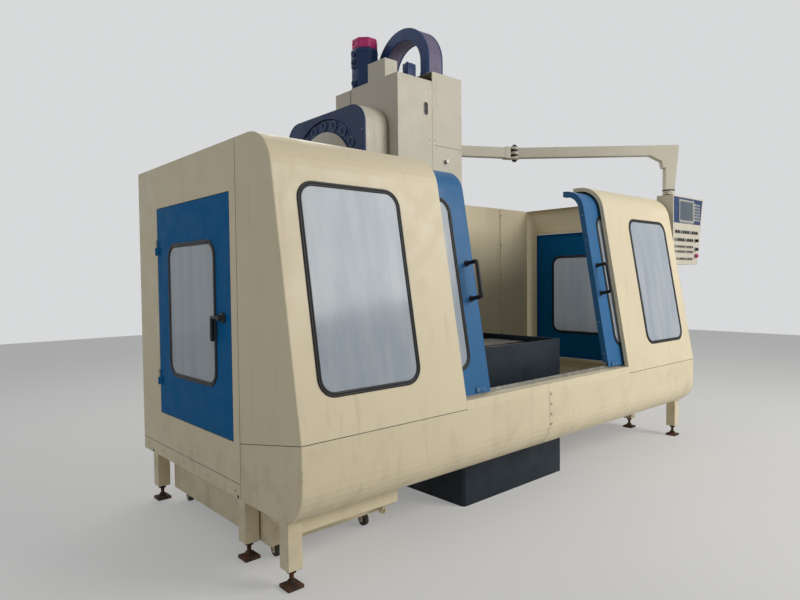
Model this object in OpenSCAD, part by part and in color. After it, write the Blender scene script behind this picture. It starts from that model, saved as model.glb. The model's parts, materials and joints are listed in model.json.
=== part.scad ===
// CNC machining centre: vertical spindle, splash enclosure, tool magazine and swinging control arm.
// Origin on the floor straight below the spindle; X to the operator's right, Y to the rear, Z up.

/* [Enclosure] */
// Spindle axis to the outer face of the left end wall
left_reach = 1990; // [1800:10:2400]
// Spindle axis to the outer face of the right end wall
right_reach = 2275; // [2100:10:2600]
// Spindle axis to the front face of the apron
front_reach = 1360; // [1320:10:1500]
// Depth of the end walls
end_d = 2050; // [2000:10:2200]
// Height of the roof edge above the floor
roof_z = 2255; // [2200:5:2400]
// Height of the seam between apron and panels
seam_z = 735; // [700:5:780]
// Height of the underside of the end walls
skirt_z = 326; // [300:2:360]
// Lean of the front panels from the vertical, in degrees
slope = 9.9; // [8:0.1:12]
// Radius of the rolled top edge
crest_r = 220; // [160:5:260]
// Radius of the rolled lower edge of the apron
belly_r = 200; // [150:5:230]
// Sheet thickness of panels and walls
sheet = 3; // [2:0.5:5]
// Open gap at a seam between two sheets
seam = 0.8; // [0.4:0.1:0.9]
// Width of the left front panel
left_panel_w = 1143; // [1000:1:1200]
// Width of the right front panel
right_panel_w = 1197; // [1050:1:1250]
// Height of the sill above the seam
sill_h = 50; // [30:1:80]
// Depth of the sill
sill_d = 150; // [140:5:180]

/* [Windows] */
// Width of the front windows
window_w = 650; // [500:5:700]
// Height of the front windows along the slope
window_h = 1060; // [800:5:1080]
// Height of the middle of the front windows
window_z = 1465; // [1440:5:1500]
// Corner radius of the windows
window_r = 85; // [50:5:110]
// Width of the rubber gasket's lip
gasket_w = 15; // [8:1:22]
// How far a gasket stands proud of its sheet
gasket_h = 7; // [3:1:10]
// Glass thickness
glass_t = 5; // [3:1:8]

/* [Sliding doors] */
// Distance of the doors behind the front panels
door_set = 50; // [45:1:60]
// Width of each sliding door
door_w = 1080; // [1000:5:1100]
// How far the left door stands out past its panel
left_peek = 282; // [200:1:300]
// How far the right door stands out past its panel
right_peek = 215; // [200:1:300]
// Depth of the doors' folded edges
door_edge = 45; // [30:1:60]
// Width of the doors' windows
door_window_w = 640; // [500:5:700]
// Leading edge to door window
door_window_in = 160; // [140:5:180]
// Length of the pull handles
handle_l = 250; // [180:5:320]
// How far the handles stand out
handle_d = 100; // [60:5:110]
// Thickness of the handle bar
handle_t = 26; // [18:1:34]
// Height of the middle of the handles
handle_z = 1485; // [1300:5:1600]

/* [Side doors] */
// Front wall plane to the side doors' front edge
side_door_y = 677; // [650:1:720]
// Width of the side doors
side_door_w = 1040; // [900:5:1080]
// Bottom of the side doors
side_door_z = 632; // [600:2:700]
// Height of the side doors
side_door_h = 1348; // [1200:4:1400]
// Width of the side windows
side_window_w = 650; // [500:5:700]
// Height of the side windows
side_window_h = 815; // [600:5:900]
// Thickness of the side doors
side_door_t = 25; // [20:1:35]
// Side doors' front edge to the middle of their windows
side_window_in = 516; // [460:2:540]
// Side doors' lower edge to the middle of their windows
side_window_up = 686; // [560:2:760]
// Side doors' front edge to the latch
lock_in = 90; // [60:2:100]
// Side doors' lower edge to the latch
lock_up = 668; // [500:2:900]

/* [Legs] */
// Side of the square leg tubes
leg = 80; // [60:2:100]
// Bottom of the leg tubes above the floor
leg_z = 97; // [80:1:120]
// Height of the tube rail under the walls
rail_h = 84; // [70:2:100]
// Diameter of the levelling screws
screw_d = 24; // [16:1:30]

/* [Base and column] */
// Width of the base casting
base_w = 1126; // [1040:2:1200]
// Height of the base's rim
base_z = 1030; // [1000:5:1060]
// Front of the enclosure to the front of the base
base_set = 295; // [270:5:320]
// Column's ways to the rear of the base
base_behind = 600; // [560:5:640]
// Depth of the well inside the rim
well_h = 150; // [140:5:170]
// Thickness of the rim
rim = 25; // [15:1:40]
// Height of the sliding ways
way_h = 50; // [40:1:55]
// Width of the sliding ways
way_w = 110; // [80:5:140]
// Distance between the ways' middles
way_gauge = 660; // [560:10:760]
// Spindle axis to the column's ways
throat = 340; // [335:5:420]
// Width of the column
column_w = 660; // [600:10:680]
// Height of the column
column_z = 3100; // [3060:10:3200]
// Height at which the column's back starts to slope
column_foot_z = 1300; // [1200:10:1400]
// Height above which the column's back is upright
column_knee_z = 2350; // [2250:10:2500]

/* [Table] */
// Length of the table
table_l = 1400; // [1200:10:1500]
// Depth of the table
table_d = 560; // [500:10:600]
// Thickness of the table
table_h = 100; // [80:5:120]
// Where the table stands along X, from the spindle axis
table_x = -300; // [-400:10:-200]
// Where the table stands along Y, from the spindle axis
table_y = -130; // [-200:10:-110]
// Width of a T-slot
slot_w = 18; // [12:1:22]
// Distance between T-slots
slot_pitch = 100; // [80:5:120]
// Length of the saddle
saddle_l = 880; // [700:10:960]
// Length of one telescopic cover
cover_l = 380; // [340:5:420]

/* [Head] */
// Width of the head cover
head_w = 720; // [700:10:760]
// Spindle axis to the front of the head cover
head_reach = 230; // [200:5:260]
// Top of the head cover
head_z = 3090; // [3000:10:3150]
// Bottom of the head cover
head_low = 1950; // [1900:10:2000]
// How much the right half stands higher
head_step = 80; // [60:5:120]
// Radius of the spindle shaft
spindle_r = 60; // [45:1:70]
// Radial clearance of the spindle in its bore
spindle_gap = 0.05; // [0.02:0.01:0.1]

/* [Tool magazine] */
// Height of the magazine axis
mag_z = 2310; // [2300:5:2400]
// Thickness of the magazine
mag_w = 225; // [180:5:240]
// Half the size of the magazine housing
mag_r = 545; // [520:5:560]
// Number of tool pockets
pockets = 20; // [16:2:30]
// Radius of the circle of pockets
pocket_ring = 450; // [430:5:460]
// Radius of one pocket
pocket_r = 40; // [30:1:44]

/* [Control arm] */
// Top of the swinging arm
arm_z = 2760; // [2700:5:2800]
// Depth of the arm's box section
arm_h = 96; // [70:2:100]
// Width of the arm's box section
arm_w = 80; // [60:2:90]
// Length of the first arm
arm_1 = 1010; // [950:5:1100]
// From the enclosure's right end out to the drop post of the control panel
post_gap = 115; // [100:5:200]
// From the foot of the front back to that post
post_in = 290; // [200:10:350]
// Direction of the first arm, in degrees from X
arm_a1 = -28.2; // [-30:0.1:-20]
// Width of the control panel
panel_w = 690; // [600:10:750]
// Height of the control panel
panel_h = 660; // [560:10:700]
// Thickness of the control panel
panel_t = 160; // [120:5:180]

/* [Coolant tank] */
// Length of the tank
tank_l = 745; // [700:5:1200]
// Depth of the tank
tank_d = 1300; // [1000:10:1350]
// Height of the tank's body
tank_h = 205; // [150:5:210]
// Front of the enclosure to the front of the tank's deep part
tank_set = 460; // [420:5:500]
// Length of the shallow tray at the tank's front
tray_l = 660; // [500:10:700]
// Depth of the tray
tray_d = 270; // [200:10:280]
// Height of the tray
tray_h = 78; // [60:2:90]
// Radius of the caster wheels
wheel_r = 38; // [30:1:42]

/* [Hidden] */

$fn = 40;
eps = 0.5;
// Clearance between pieces that slide past each other
slip = 0.3;

cream = [0.80, 0.76, 0.64];
door_blue = [0.20, 0.42, 0.66];
side_blue = [0.04, 0.27, 0.50];
slate = [0.16, 0.20, 0.24];
navy = [0.13, 0.19, 0.32];
black = [0.06, 0.06, 0.07];
steel = [0.55, 0.56, 0.57];
glassy = [0.75, 0.80, 0.84, 0.5];
rusty = [0.33, 0.24, 0.19];
crimson = [0.75, 0.15, 0.30];

front_y = -front_reach;
rear_y = front_y + end_d;
left_x = -left_reach;
right_x = right_reach;
left_inner = left_x + left_panel_w;
right_inner = right_x - right_panel_w;

// Carries an outline in depth and height to a bar that runs along X from x0
module along_x(x0, len) translate([x0, 0, 0]) rotate([90, 0, 90]) linear_extrude(len) children();

// Points of an arc from angle a0 to a1
function arc(c, r, a0, a1, n = 8) =
    [for (i = [0:n]) let (a = a0 + (a1 - a0) * i / n) c + r * [cos(a), sin(a)]];
function flip(p) = [for (i = [len(p) - 1:-1:0]) p[i]];

// Depth of the slanted front, set in by o, at height z
function lean_y(z, o) = front_y + tan(slope) * (z - seam_z) + o / cos(slope);
crest_z = roof_z - crest_r;
crest_y = lean_y(crest_z, crest_r);

// Slanted front with its rolled top, set in by o, from height z0 to depth y1 on the roof
function front_line(o, z0, y1) = concat([[lean_y(z0, o), z0]],
    arc([crest_y, crest_z], crest_r - o, 180 - slope, 90), [[y1, roof_z - o]]);
// Apron with its rolled lower edge, set in by o
belly_z = skirt_z + belly_r;
belly_y = front_y + belly_r;
function apron_line(o, z1, y1) = concat([[front_y + o, z1]],
    arc([belly_y, belly_z], belly_r - o, 180, 270), [[y1, skirt_z + o]]);
module skin(a, b) polygon(concat(a, flip(b)));

// Rectangle with round corners, about the origin
module round_rect(w, h, r) polygon(concat(
    arc([w / 2 - r, h / 2 - r], r, 0, 90, 6), arc([r - w / 2, h / 2 - r], r, 90, 180, 6),
    arc([r - w / 2, r - h / 2], r, 180, 270, 6), arc([w / 2 - r, r - h / 2], r, 270, 360, 6)));
module block(a, b) translate(a) cube(b - a);

// Places what stands on the slanted front: its own Y runs up the slope and its Z points out
module on_front(x, z, o) translate([x, lean_y(z, o), z]) rotate([90 - slope, 0, 0]) children();

module window_hole(w, h, r) translate([0, 0, -60]) linear_extrude(120) round_rect(w, h, r);
// Rubber gasket: a lip in front, a neck through the sheet and a lip behind
module gasket(w, h, r, t) {
    difference() {
        union() {
            for (z = [pin_gap, -t - gasket_h]) translate([0, 0, z]) linear_extrude(gasket_h - pin_gap)
                round_rect(w + 2 * gasket_w, h + 2 * gasket_w, r + gasket_w);
            translate([0, 0, -t - 1]) linear_extrude(t + 2) round_rect(w - seam, h - seam, r - seam / 2);
        }
        window_hole(w - 2 * gasket_w, h - 2 * gasket_w, r - gasket_w);
        translate([0, 0, -t / 2 - glass_t / 2]) linear_extrude(glass_t)
            round_rect(w - gasket_w, h - gasket_w, r - gasket_w / 2);
    }
}
module pane(w, h, r, t) translate([0, 0, -t / 2 - glass_t / 2]) linear_extrude(glass_t)
    round_rect(w - gasket_w, h - gasket_w, r - gasket_w / 2);

left_window_x = left_x + 467;
right_window_x = right_x - 485;
roof_back_y = crest_y + 60;
panel_flange = 32;

// One fixed front panel: slanted sheet, rolled top and folded inner edge
module front_panel(x0, w, window_x, edge_x) {
    lower = seam_z + seam;
    difference() {
        union() {
            along_x(x0, w) skin(front_line(0, lower, roof_back_y), front_line(sheet, lower, roof_back_y));
            along_x(edge_x, sheet) skin(front_line(0, lower + sill_h, roof_back_y),
                front_line(panel_flange, lower + sill_h, roof_back_y));
        }
        on_front(window_x, window_z, 0) window_hole(window_w, window_h, window_r);
    }
}
module left_front_panel() color(cream)
    front_panel(left_x + sheet + seam, left_panel_w - sheet - seam, left_window_x, left_inner - sheet);
module right_front_panel() color(cream)
    front_panel(right_inner, right_panel_w - sheet - seam, right_window_x, right_inner);
module front_gaskets() color(black)
    for (x = [left_window_x, right_window_x]) on_front(x, window_z, 0)
        gasket(window_w, window_h, window_r, sheet);
module front_glass() color(glassy)
    for (x = [left_window_x, right_window_x]) on_front(x, window_z, 0)
        pane(window_w, window_h, window_r, sheet);

// The apron is two formed sheets that meet at a screwed joint plate
apron_joint_x = -20;
apron_lap_w = 250;
apron_back_y = front_y + 260;
screw_pitch = 68;
screw_in = 20;
ledge_d = 27;
module apron_sheet(x0, x1) {
    along_x(x0, x1 - x0) skin(apron_line(0, seam_z, apron_back_y), apron_line(sheet, seam_z, apron_back_y));
    a = max(x0, left_inner + seam);
    b = min(x1, right_inner - seam);
    along_x(a, b - a) polygon([[front_y, seam_z], [lean_y(seam_z + sill_h, 0), seam_z + sill_h],
        [front_y + ledge_d, seam_z + sill_h], [front_y + ledge_d, seam_z]]);
    // ledge that the panels stand over, and the flat of the sill behind it
    along_x(x0, x1 - x0) polygon([[front_y, seam_z - sheet], [front_y + ledge_d, seam_z - sheet],
        [front_y + ledge_d, seam_z + sill_h - sheet], [front_y + sill_d, seam_z + sill_h - sheet],
        [front_y + sill_d, seam_z + sill_h], [front_y + ledge_d - sheet, seam_z + sill_h],
        [front_y + ledge_d - sheet, seam_z], [front_y, seam_z]]);
}
module front_apron_left() color(cream) apron_sheet(left_x + sheet + seam, apron_joint_x);
module front_apron_right() color(cream) {
    apron_sheet(apron_joint_x + seam, right_x - sheet - seam);
    for (z = [seam_z - screw_in:-screw_pitch:belly_z - screw_in])
        translate([apron_joint_x + seam + 14, front_y, z]) rotate([90, 0, 0])
            cylinder(r1 = 6, r2 = 4, h = 3, $fn = 16);
    along_x(apron_joint_x + seam, apron_lap_w)
        skin(apron_line(-sheet / 2, seam_z - 1, apron_back_y - 60),
            apron_line(eps, seam_z - 1, apron_back_y - 60));
}

// End walls, drawn for the left end with their outer face on x = 0 and the room at x > 0
cap_d = 600;
cap_drop = 103;
rail_top = skirt_z + rail_h;
module wall_sheet() along_x(0, sheet) children();
cap_y = front_y + cap_d;
module end_caps() {
    wall_sheet() polygon(concat(front_line(0, seam_z + seam, cap_y - seam),
        [[cap_y - seam, seam_z - cap_drop + seam]]));
    wall_sheet() polygon(concat([[front_y, seam_z - seam]], arc([belly_y, belly_z], belly_r, 180, 270),
        [[cap_y - seam, skirt_z], [cap_y - seam, seam_z - cap_drop - seam]]));
}
door_y0 = front_y + side_door_y;
door_y1 = door_y0 + side_door_w;
door_z1 = side_door_z + side_door_h;
door_play = 4;
module side_wall() {
    wall_sheet() difference() {
        polygon([[cap_y, rail_top + seam], [rear_y, rail_top + seam], [rear_y, roof_z], [cap_y, roof_z]]);
        polygon([[door_y0 - door_play, side_door_z - door_play],
            [door_y1 + door_play, side_door_z - door_play],
            [door_y1 + door_play, door_z1 + door_play], [door_y0 - door_play, door_z1 + door_play]]);
    }
    // folded edges at the top and the rear
    block([sheet, cap_y, roof_z - sheet], [40, rear_y, roof_z]);
    block([sheet, rear_y - sheet, rail_top + seam], [40, rear_y, roof_z - sheet]);
    // bottom fold that stands on the tube rail
    block([sheet, cap_y, rail_top], [40, rear_y, rail_top + sheet + seam]);
    // door stop strips behind the opening
    block([sheet, door_y0 - door_play - 30, side_door_z - 34],
        [sheet + 25, door_y0 - door_play, door_z1 + 34]);
    block([sheet, door_y0 - door_play, side_door_z - 34], [sheet + 25, door_y1, side_door_z - door_play]);
    block([sheet, door_y0 - door_play, door_z1 + door_play], [sheet + 25, door_y1, door_z1 + 34]);
    hinge_pins();
}
module at_left() translate([left_x, 0, 0]) children();
module at_right() translate([right_x, 0, 0]) mirror([1, 0, 0]) children();
module left_end_caps() color(cream) at_left() end_caps();
module right_end_caps() color(cream) at_right() end_caps();
module left_side_wall() color(cream) at_left() side_wall();
module right_side_wall() color(cream) at_right() side_wall();

// Side doors: a folded pan with a window, hung on two hinges at its rear edge
hinge_r = 8;
hinge_h = 90;
hinge_in = 190;
hinge_zs = [side_door_z + hinge_in, door_z1 - hinge_in - 110];
hinge_x = -hinge_r;
hinge_y = door_y1 + door_play / 2;
side_window_y = door_y0 + side_window_in;
side_window_z = side_door_z + side_window_up;
module on_side(y, z) translate([0, y, z]) rotate([90, 0, -90]) children();
module side_door() {
    difference() {
        block([0, door_y0, side_door_z], [side_door_t, door_y1, door_z1]);
        block([sheet, door_y0 + sheet, side_door_z + sheet],
            [side_door_t + eps, door_y1 - sheet, door_z1 - sheet]);
        on_side(side_window_y, side_window_z) window_hole(side_window_w, side_window_h, window_r);
        latch_hole();
    }
    for (z = hinge_zs) translate([hinge_x, hinge_y, z]) {
        difference() {
            union() {
                cylinder(r = hinge_r, h = hinge_h / 2 - slip);
                block([0, -40, 0], [hinge_r, 0, hinge_h / 2 - slip]);
            }
            translate([0, 0, -eps]) cylinder(r = 4 + pin_gap, h = hinge_h);
        }
    }
}
// The fixed hinge knuckles with their pins belong to the wall
module hinge_pins() for (z = hinge_zs) translate([hinge_x, hinge_y, z]) {
    cylinder(r = 4, h = hinge_h / 2);
    translate([0, 0, hinge_h / 2]) cylinder(r = hinge_r, h = hinge_h / 2);
    block([0, 0, hinge_h / 2], [hinge_r, 40, hinge_h]);
}
lock_y = door_y0 + lock_in;
lock_z = side_door_z + lock_up;
lock_r = 14;
module latch_hole() on_side(lock_y, lock_z) translate([0, 0, -60]) cylinder(r = lock_r + pin_gap, h = 120);
// Lever handle: round rose, spindle, arm towards the rear and hanging grip
module latch() {
    on_side(lock_y, lock_z) {
        translate([0, 0, -side_door_t - 8]) cylinder(r = lock_r, h = side_door_t + 8.3);
        translate([0, 0, slip]) cylinder(r = 30, h = 12);
        translate([0, 0, 12]) cylinder(r = 16, h = 26);
    }
    block([-38, lock_y, lock_z - 9], [-18, lock_y + 95, lock_z + 9]);
    block([-40, lock_y + 73, lock_z - 135], [-16, lock_y + 95, lock_z - 9]);
    block([side_door_t + 4, lock_y - 9, lock_z - 14], [side_door_t + 8, lock_y + 60, lock_z + 14]);
}
module side_gasket() on_side(side_window_y, side_window_z)
    gasket(side_window_w, side_window_h, window_r, sheet);
module side_glass() on_side(side_window_y, side_window_z)
    pane(side_window_w, side_window_h, window_r, sheet);
module left_side_door() color(side_blue) at_left() side_door();
module right_side_door() color(side_blue) at_right() side_door();
module left_side_gasket() color(black) at_left() side_gasket();
module right_side_gasket() color(black) at_right() side_gasket();
module left_side_glass() color(glassy) at_left() side_glass();
module right_side_glass() color(glassy) at_right() side_glass();
module left_latch() color(black) at_left() latch();
module right_latch() color(black) at_right() latch();

// Tube frame: legs under the walls and rails along their lower edges
leg_ys = [front_y + 133, front_y + 563, front_y + 1810];
module tube_post(x, y, z0, z1) difference() {
    block([x, y, z0], [x + leg, y + leg, z1]);
    block([x + 4, y + 4, z0 + 6], [x + leg - 4, y + leg - 4, z1 + eps]);
}
module end_frame() {
    for (y = leg_ys) tube_post(sheet, y, leg_z, skirt_z);
    // the front leg's top follows the apron's rolled edge
    reach = belly_r + slip;
    along_x(sheet, leg) polygon(concat([[leg_ys[0], skirt_z - 1]],
        arc([belly_y, belly_z], reach, 270 - asin((belly_y - leg_ys[0]) / reach), 270, 3),
        [[belly_y, skirt_z - 1]]));
    block([0, cap_y, skirt_z], [leg + sheet, rear_y, rail_top]);
}
module enclosure_frame() color(cream) {
    at_left() end_frame();
    at_right() end_frame();
    block([left_x + leg + sheet, rear_wall_y, skirt_z], [-mag_gap_l, rear_wall_y + 60, rail_top]);
    block([base_w / 2, rear_wall_y, skirt_z], [right_x - leg - sheet, rear_wall_y + 60, rail_top]);
    for (s = [0, 1]) translate([s == 0 ? left_x : right_x, 0, 0]) mirror([s, 0, 0])
        block([sheet, leg_ys[0] + leg, skirt_z + sheet], [sheet + leg, cap_y, skirt_z + sheet + 60]);
}
foot_t = 22;
module levelling_foot(x, y, plate) {
    translate([x, y, foot_t]) cylinder(d = screw_d, h = leg_z - foot_t);
    translate([x, y, foot_t]) cylinder(d = screw_d * 1.9, h = 16, $fn = 6);
    translate([x, y, leg_z - 18]) cylinder(d = screw_d * 1.7, h = 18, $fn = 6);
    block([x - plate / 2, y - plate / 2, 0], [x + plate / 2, y + plate / 2, foot_t]);
}
leg_xs = [left_x + sheet + leg / 2, right_x - sheet - leg / 2];
module levelling_feet() color(rusty) for (y = leg_ys) for (x = leg_xs)
    levelling_foot(x, y + leg / 2, 90);

// Rear walls of the room, beside the column and the tool magazine
rear_wall_y = 480;
mag_gap_l = 620;
column_gap_r = column_w / 2 + 50;
rear_wall_z = rail_top;
corner_post_in = 517;
post_x = right_x - corner_post_in;
module rear_wall(x0, x1) {
    block([x0, rear_wall_y, rear_wall_z], [x1, rear_wall_y + sheet, roof_z]);
    block([x0, rear_wall_y + sheet, roof_z - sheet], [x1, rear_wall_y + 40, roof_z]);
}
module rear_walls() color(cream) {
    rear_wall(left_x + 40, -mag_gap_l);
    difference() {
        rear_wall(column_gap_r, right_x - 40);
        block([0, rear_wall_y - 1, 0], [base_w / 2, rear_wall_y + 50, well_floor]);
    }
    for (x = [-mag_gap_l - 330, post_x]) {
        block([x - 14, rear_wall_y - 10, pan_high + 40], [x + 14, rear_wall_y, roof_z]);
        for (z = [900:320:2200]) translate([x, rear_wall_y - 10, z]) rotate([90, 0, 0])
            cylinder(d = 12, h = 5, $fn = 6);
    }
}

// Guide rails of the sliding doors: one along the sill, one behind each panel's rolled top
rail_w = 14;
door_base_z = seam_z + sill_h + 12;
door_foot_y = lean_y(door_base_z, door_set);
lower_rail_y = door_foot_y + 20;
module door_rails() color(steel) {
    block([left_x + 40, lower_rail_y, seam_z + sill_h],
        [right_x - 40, lower_rail_y + rail_w, seam_z + sill_h + 26]);
    for (x = [[left_x + 40, left_inner - sheet], [right_inner + sheet, right_x - 40]])
        block([x[0], upper_rail_y, roof_z - sheet - rail_drop],
            [x[1], upper_rail_y + rail_w, roof_z - sheet]);
}
upper_rail_y = crest_y + 30;
rail_drop = 34;

// Sliding door: leaning sheet with rolled top, folded edges, boxed leading edge and sliding shoes
door_back_y = crest_y + 20;
door_window_z = 1475;
door_window_h = 1050;
module slide_door(lead, dir) {
    // lead is the leading edge, dir points from it into the door
    x0 = min(lead, lead + dir * door_w);
    window_x = lead + dir * (door_window_in + door_window_w / 2);
    box_w = 60;
    top_o = door_set;
    edge_z = door_base_z + 34;
    difference() {
        union() {
            along_x(x0, door_w) skin(front_line(top_o, door_base_z, door_back_y),
                front_line(top_o + sheet, door_base_z, door_back_y));
            for (e = [lead, lead + dir * (box_w - sheet), lead + dir * (door_w - sheet)])
                along_x(min(e, e + dir * sheet), sheet) skin(front_line(top_o, edge_z, door_back_y),
                    front_line(top_o + door_edge, edge_z, door_back_y));
            along_x(min(lead, lead + dir * box_w), box_w)
                skin(front_line(top_o + door_edge - sheet, edge_z, door_back_y),
                    front_line(top_o + door_edge, edge_z, door_back_y));
        }
        on_front(window_x, door_window_z, top_o) window_hole(door_window_w, door_window_h, window_r);
    }
    for (u = [90, door_w - 90]) {
        x = lead + dir * u;
        // grooved shoe on the sill rail
        difference() {
            block([x - 40, door_foot_y, door_base_z],
                [x + 40, lower_rail_y + rail_w + 14, door_base_z + 34]);
            block([x - 41, lower_rail_y - slip, door_base_z - 1],
                [x + 41, lower_rail_y + rail_w + slip, seam_z + sill_h + 26 + slip]);
        }
    }
    // hook over the upper rail at the trailing end
    x = lead + dir * (door_w - 40);
    groove_z = roof_z - sheet - rail_drop - slip;
    difference() {
        block([x - 35, upper_rail_y - 12, groove_z - 28],
            [x + 35, upper_rail_y + rail_w + 12, groove_z + 24]);
        block([x - 36, upper_rail_y - slip, groove_z],
            [x + 36, upper_rail_y + rail_w + slip, groove_z + 25]);
    }
    block([x - 35, door_back_y - 30, roof_z - door_set - sheet - 12],
        [x + 35, upper_rail_y, roof_z - door_set - sheet]);
}
left_lead = left_inner + left_peek;
right_lead = right_inner - right_peek;
module left_door() color(door_blue) slide_door(left_lead, -1);
module right_door() color(door_blue) slide_door(right_lead, 1);
module door_window(lead, dir)
    on_front(lead + dir * (door_window_in + door_window_w / 2), door_window_z, door_set)
    children();
module left_door_gasket() color(black) door_window(left_lead, -1)
    gasket(door_window_w, door_window_h, window_r, sheet);
module right_door_gasket() color(black) door_window(right_lead, 1)
    gasket(door_window_w, door_window_h, window_r, sheet);
module left_door_glass() color(glassy) door_window(left_lead, -1)
    pane(door_window_w, door_window_h, window_r, sheet);
module right_door_glass() color(glassy) door_window(right_lead, 1)
    pane(door_window_w, door_window_h, window_r, sheet);
// D-shaped pull handle with round corners
module handle(x) on_front(x, handle_z, door_set) rotate([0, -90, 0]) translate([0, 0, -handle_t / 2])
    linear_extrude(handle_t) difference() {
        polygon(concat([[0, -handle_l / 2]], arc([handle_d - 40, 40 - handle_l / 2], 40, 270, 360),
            arc([handle_d - 40, handle_l / 2 - 40], 40, 0, 90), [[0, handle_l / 2]]));
        polygon(concat([[-1, handle_t - handle_l / 2]],
            arc([handle_d - 40, 40 - handle_l / 2], 40 - handle_t, 270, 360),
            arc([handle_d - 40, handle_l / 2 - 40], 40 - handle_t, 0, 90),
            [[-1, handle_l / 2 - handle_t]]));
    }
handle_in = 62;
module left_door_handle() color(black) handle(left_lead - handle_in);
module right_door_handle() color(black) handle(right_lead + handle_in);

// Base casting: block with a rim round the way well, and two sliding ways
base_front = front_y + base_set;
base_rear = throat + base_behind;
well_front = base_front + rim;
well_floor = base_z - well_h;
column_front = throat + 30;
base_chamfer = 18;
module base_casting() color(slate) difference() {
    union() {
        difference() {
            linear_extrude(base_z) polygon([[-base_w / 2, base_front + base_chamfer],
                [base_chamfer - base_w / 2, base_front], [base_w / 2 - base_chamfer, base_front],
                [base_w / 2, base_front + base_chamfer], [base_w / 2, base_rear],
                [-base_w / 2, base_rear]]);
            block([rim - base_w / 2, well_front, well_floor],
                [base_w / 2 - rim, base_rear + 1, base_z + 1]);
            block([-base_w / 2 - 1, throat - 20, well_floor], [base_w / 2 + 1, base_rear + 1, base_z + 1]);
        }
        for (s = [-1, 1]) block([s * way_gauge / 2 - way_w / 2, well_front, well_floor],
            [s * way_gauge / 2 + way_w / 2, throat - 20, well_floor + way_h]);
        // dovetail guide strips along the ways are cast with them
        for (s = [-1, 1]) block([s * way_gauge / 2 - way_w / 2 - 18, well_front, well_floor + way_h - 18],
            [s * way_gauge / 2 + way_w / 2 + 18, throat - 20, well_floor + way_h]);
    }
    // round cleaning pocket in each flank
    for (s = [-1, 1]) translate([s * base_w / 2, 250, 420]) rotate([0, 90, 0])
        cylinder(r = 90, h = 80, center = true);
}

// Column: tapered casting with box ways, motor pedestal and brackets
column_top_d = 240;
column_foot_d = base_rear - column_front;
z_way_w = 60;
z_way_gauge = 420;
z_way_low = 1250;
core_r = 75;
core_in = 170;
core_zs = [1250, 1750];
motor_x = -105;
motor_r = 112;
motor_y = column_front + 110;
motor_flange_h = 24;
motor_h = 400;
bracket_z = arm_z - arm_h;
pivot_x = column_w / 2 + 100;
pivot_y = column_front + 60;
pin_r = 22;
pin_gap = 0.05;
module column() color(cream) {
    difference() {
        union() {
            along_x(-column_w / 2, column_w) polygon([[column_front, well_floor],
                [column_front + column_foot_d, well_floor],
                [column_front + column_foot_d, column_foot_z], [column_front + column_top_d, column_knee_z],
                [column_front + column_top_d, column_z], [column_front, column_z]]);
            for (s = [-1, 1]) block([s * z_way_gauge / 2 - z_way_w / 2, throat, z_way_low],
                [s * z_way_gauge / 2 + z_way_w / 2, column_front, column_z - 40]);
        }
        // side cores of the casting
        for (s = [-1, 1]) for (z = core_zs) translate([s * column_w / 2, column_front + core_in, z])
            rotate([0, 90, 0]) cylinder(r = core_r, h = 50, center = true);
    }
    // bracket and upright pin of the swinging arm
    block([column_w / 2, pivot_y - 50, bracket_z - 30], [pivot_x + 46, pivot_y + 50, bracket_z - slip]);
    block([column_w / 2, pivot_y - 12, bracket_z - 150], [column_w / 2 + 70, pivot_y + 12, bracket_z - 30]);
    translate([pivot_x, pivot_y, bracket_z - 10]) cylinder(r = pin_r, h = arm_h);
    // bracket of the tool magazine
    block([mag_inner_x, column_front + 40, mag_z - 130], [-column_w / 2, column_front + 190, mag_z + 130]);
}
module octagon(r) circle(r = r / cos(22.5), $fn = 8);
module z_motor() color(navy) translate([motor_x, motor_y, column_z]) {
    block([-motor_r - 6, -motor_r - 6, 0], [motor_r + 6, motor_r + 6, motor_flange_h]);
    translate([0, 0, motor_flange_h]) rotate(22.5) linear_extrude(motor_h - motor_flange_h)
        octagon(motor_r);
    // cable sockets on the left
    for (z = [100, 280, 350]) translate([-motor_r, 0, z]) rotate([0, -90, 0]) cylinder(r = 22, h = 26);
    block([-motor_r - 10, -34, 236], [-motor_r + 2, 34, 386]);
}
motor_cap_z = column_z + motor_h;
module z_motor_cap() color(crimson) translate([motor_x, motor_y, motor_cap_z]) difference() {
    rotate(22.5) linear_extrude(88) octagon(motor_r - 4);
    for (a = [0:45:315]) rotate(a) block([motor_r - 10, -24, 20], [motor_r + 4, 24, 66]);
}

// Saddle, table and the telescopic covers of the long ways
saddle_z = well_floor + way_h + slip;
saddle_top = base_z + 12;
saddle_y0 = table_y - 260;
saddle_y1 = table_y + 260;
x_rail_h = 30;
table_z0 = saddle_top + x_rail_h + slip;
table_z1 = table_z0 + table_h;
table_guide = 190;
table_x0 = table_x - table_l / 2;
table_x1 = table_x + table_l / 2;
module saddle() color(slate) {
    difference() {
        block([-saddle_l / 2, saddle_y0, saddle_z], [saddle_l / 2, saddle_y1, saddle_top]);
        // relief over the middle of the base between the two ways
        block([60 - way_gauge / 2 + way_w / 2, saddle_y0 - 1, saddle_z - 1],
            [way_gauge / 2 - way_w / 2 - 60, saddle_y1 + 1, saddle_z + 40]);
    }
    for (s = [-1, 1]) block([-saddle_l / 2, table_y + s * table_guide - 30, saddle_top],
        [saddle_l / 2, table_y + s * table_guide + 30, saddle_top + x_rail_h]);
}
module t_slot(y) {
    block([table_x0 - 1, y - slot_w / 2, table_z1 - 38], [table_x1 + 1, y + slot_w / 2, table_z1 + 1]);
    block([table_x0 - 1, y - slot_w, table_z1 - 38], [table_x1 + 1, y + slot_w, table_z1 - 22]);
}
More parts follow.
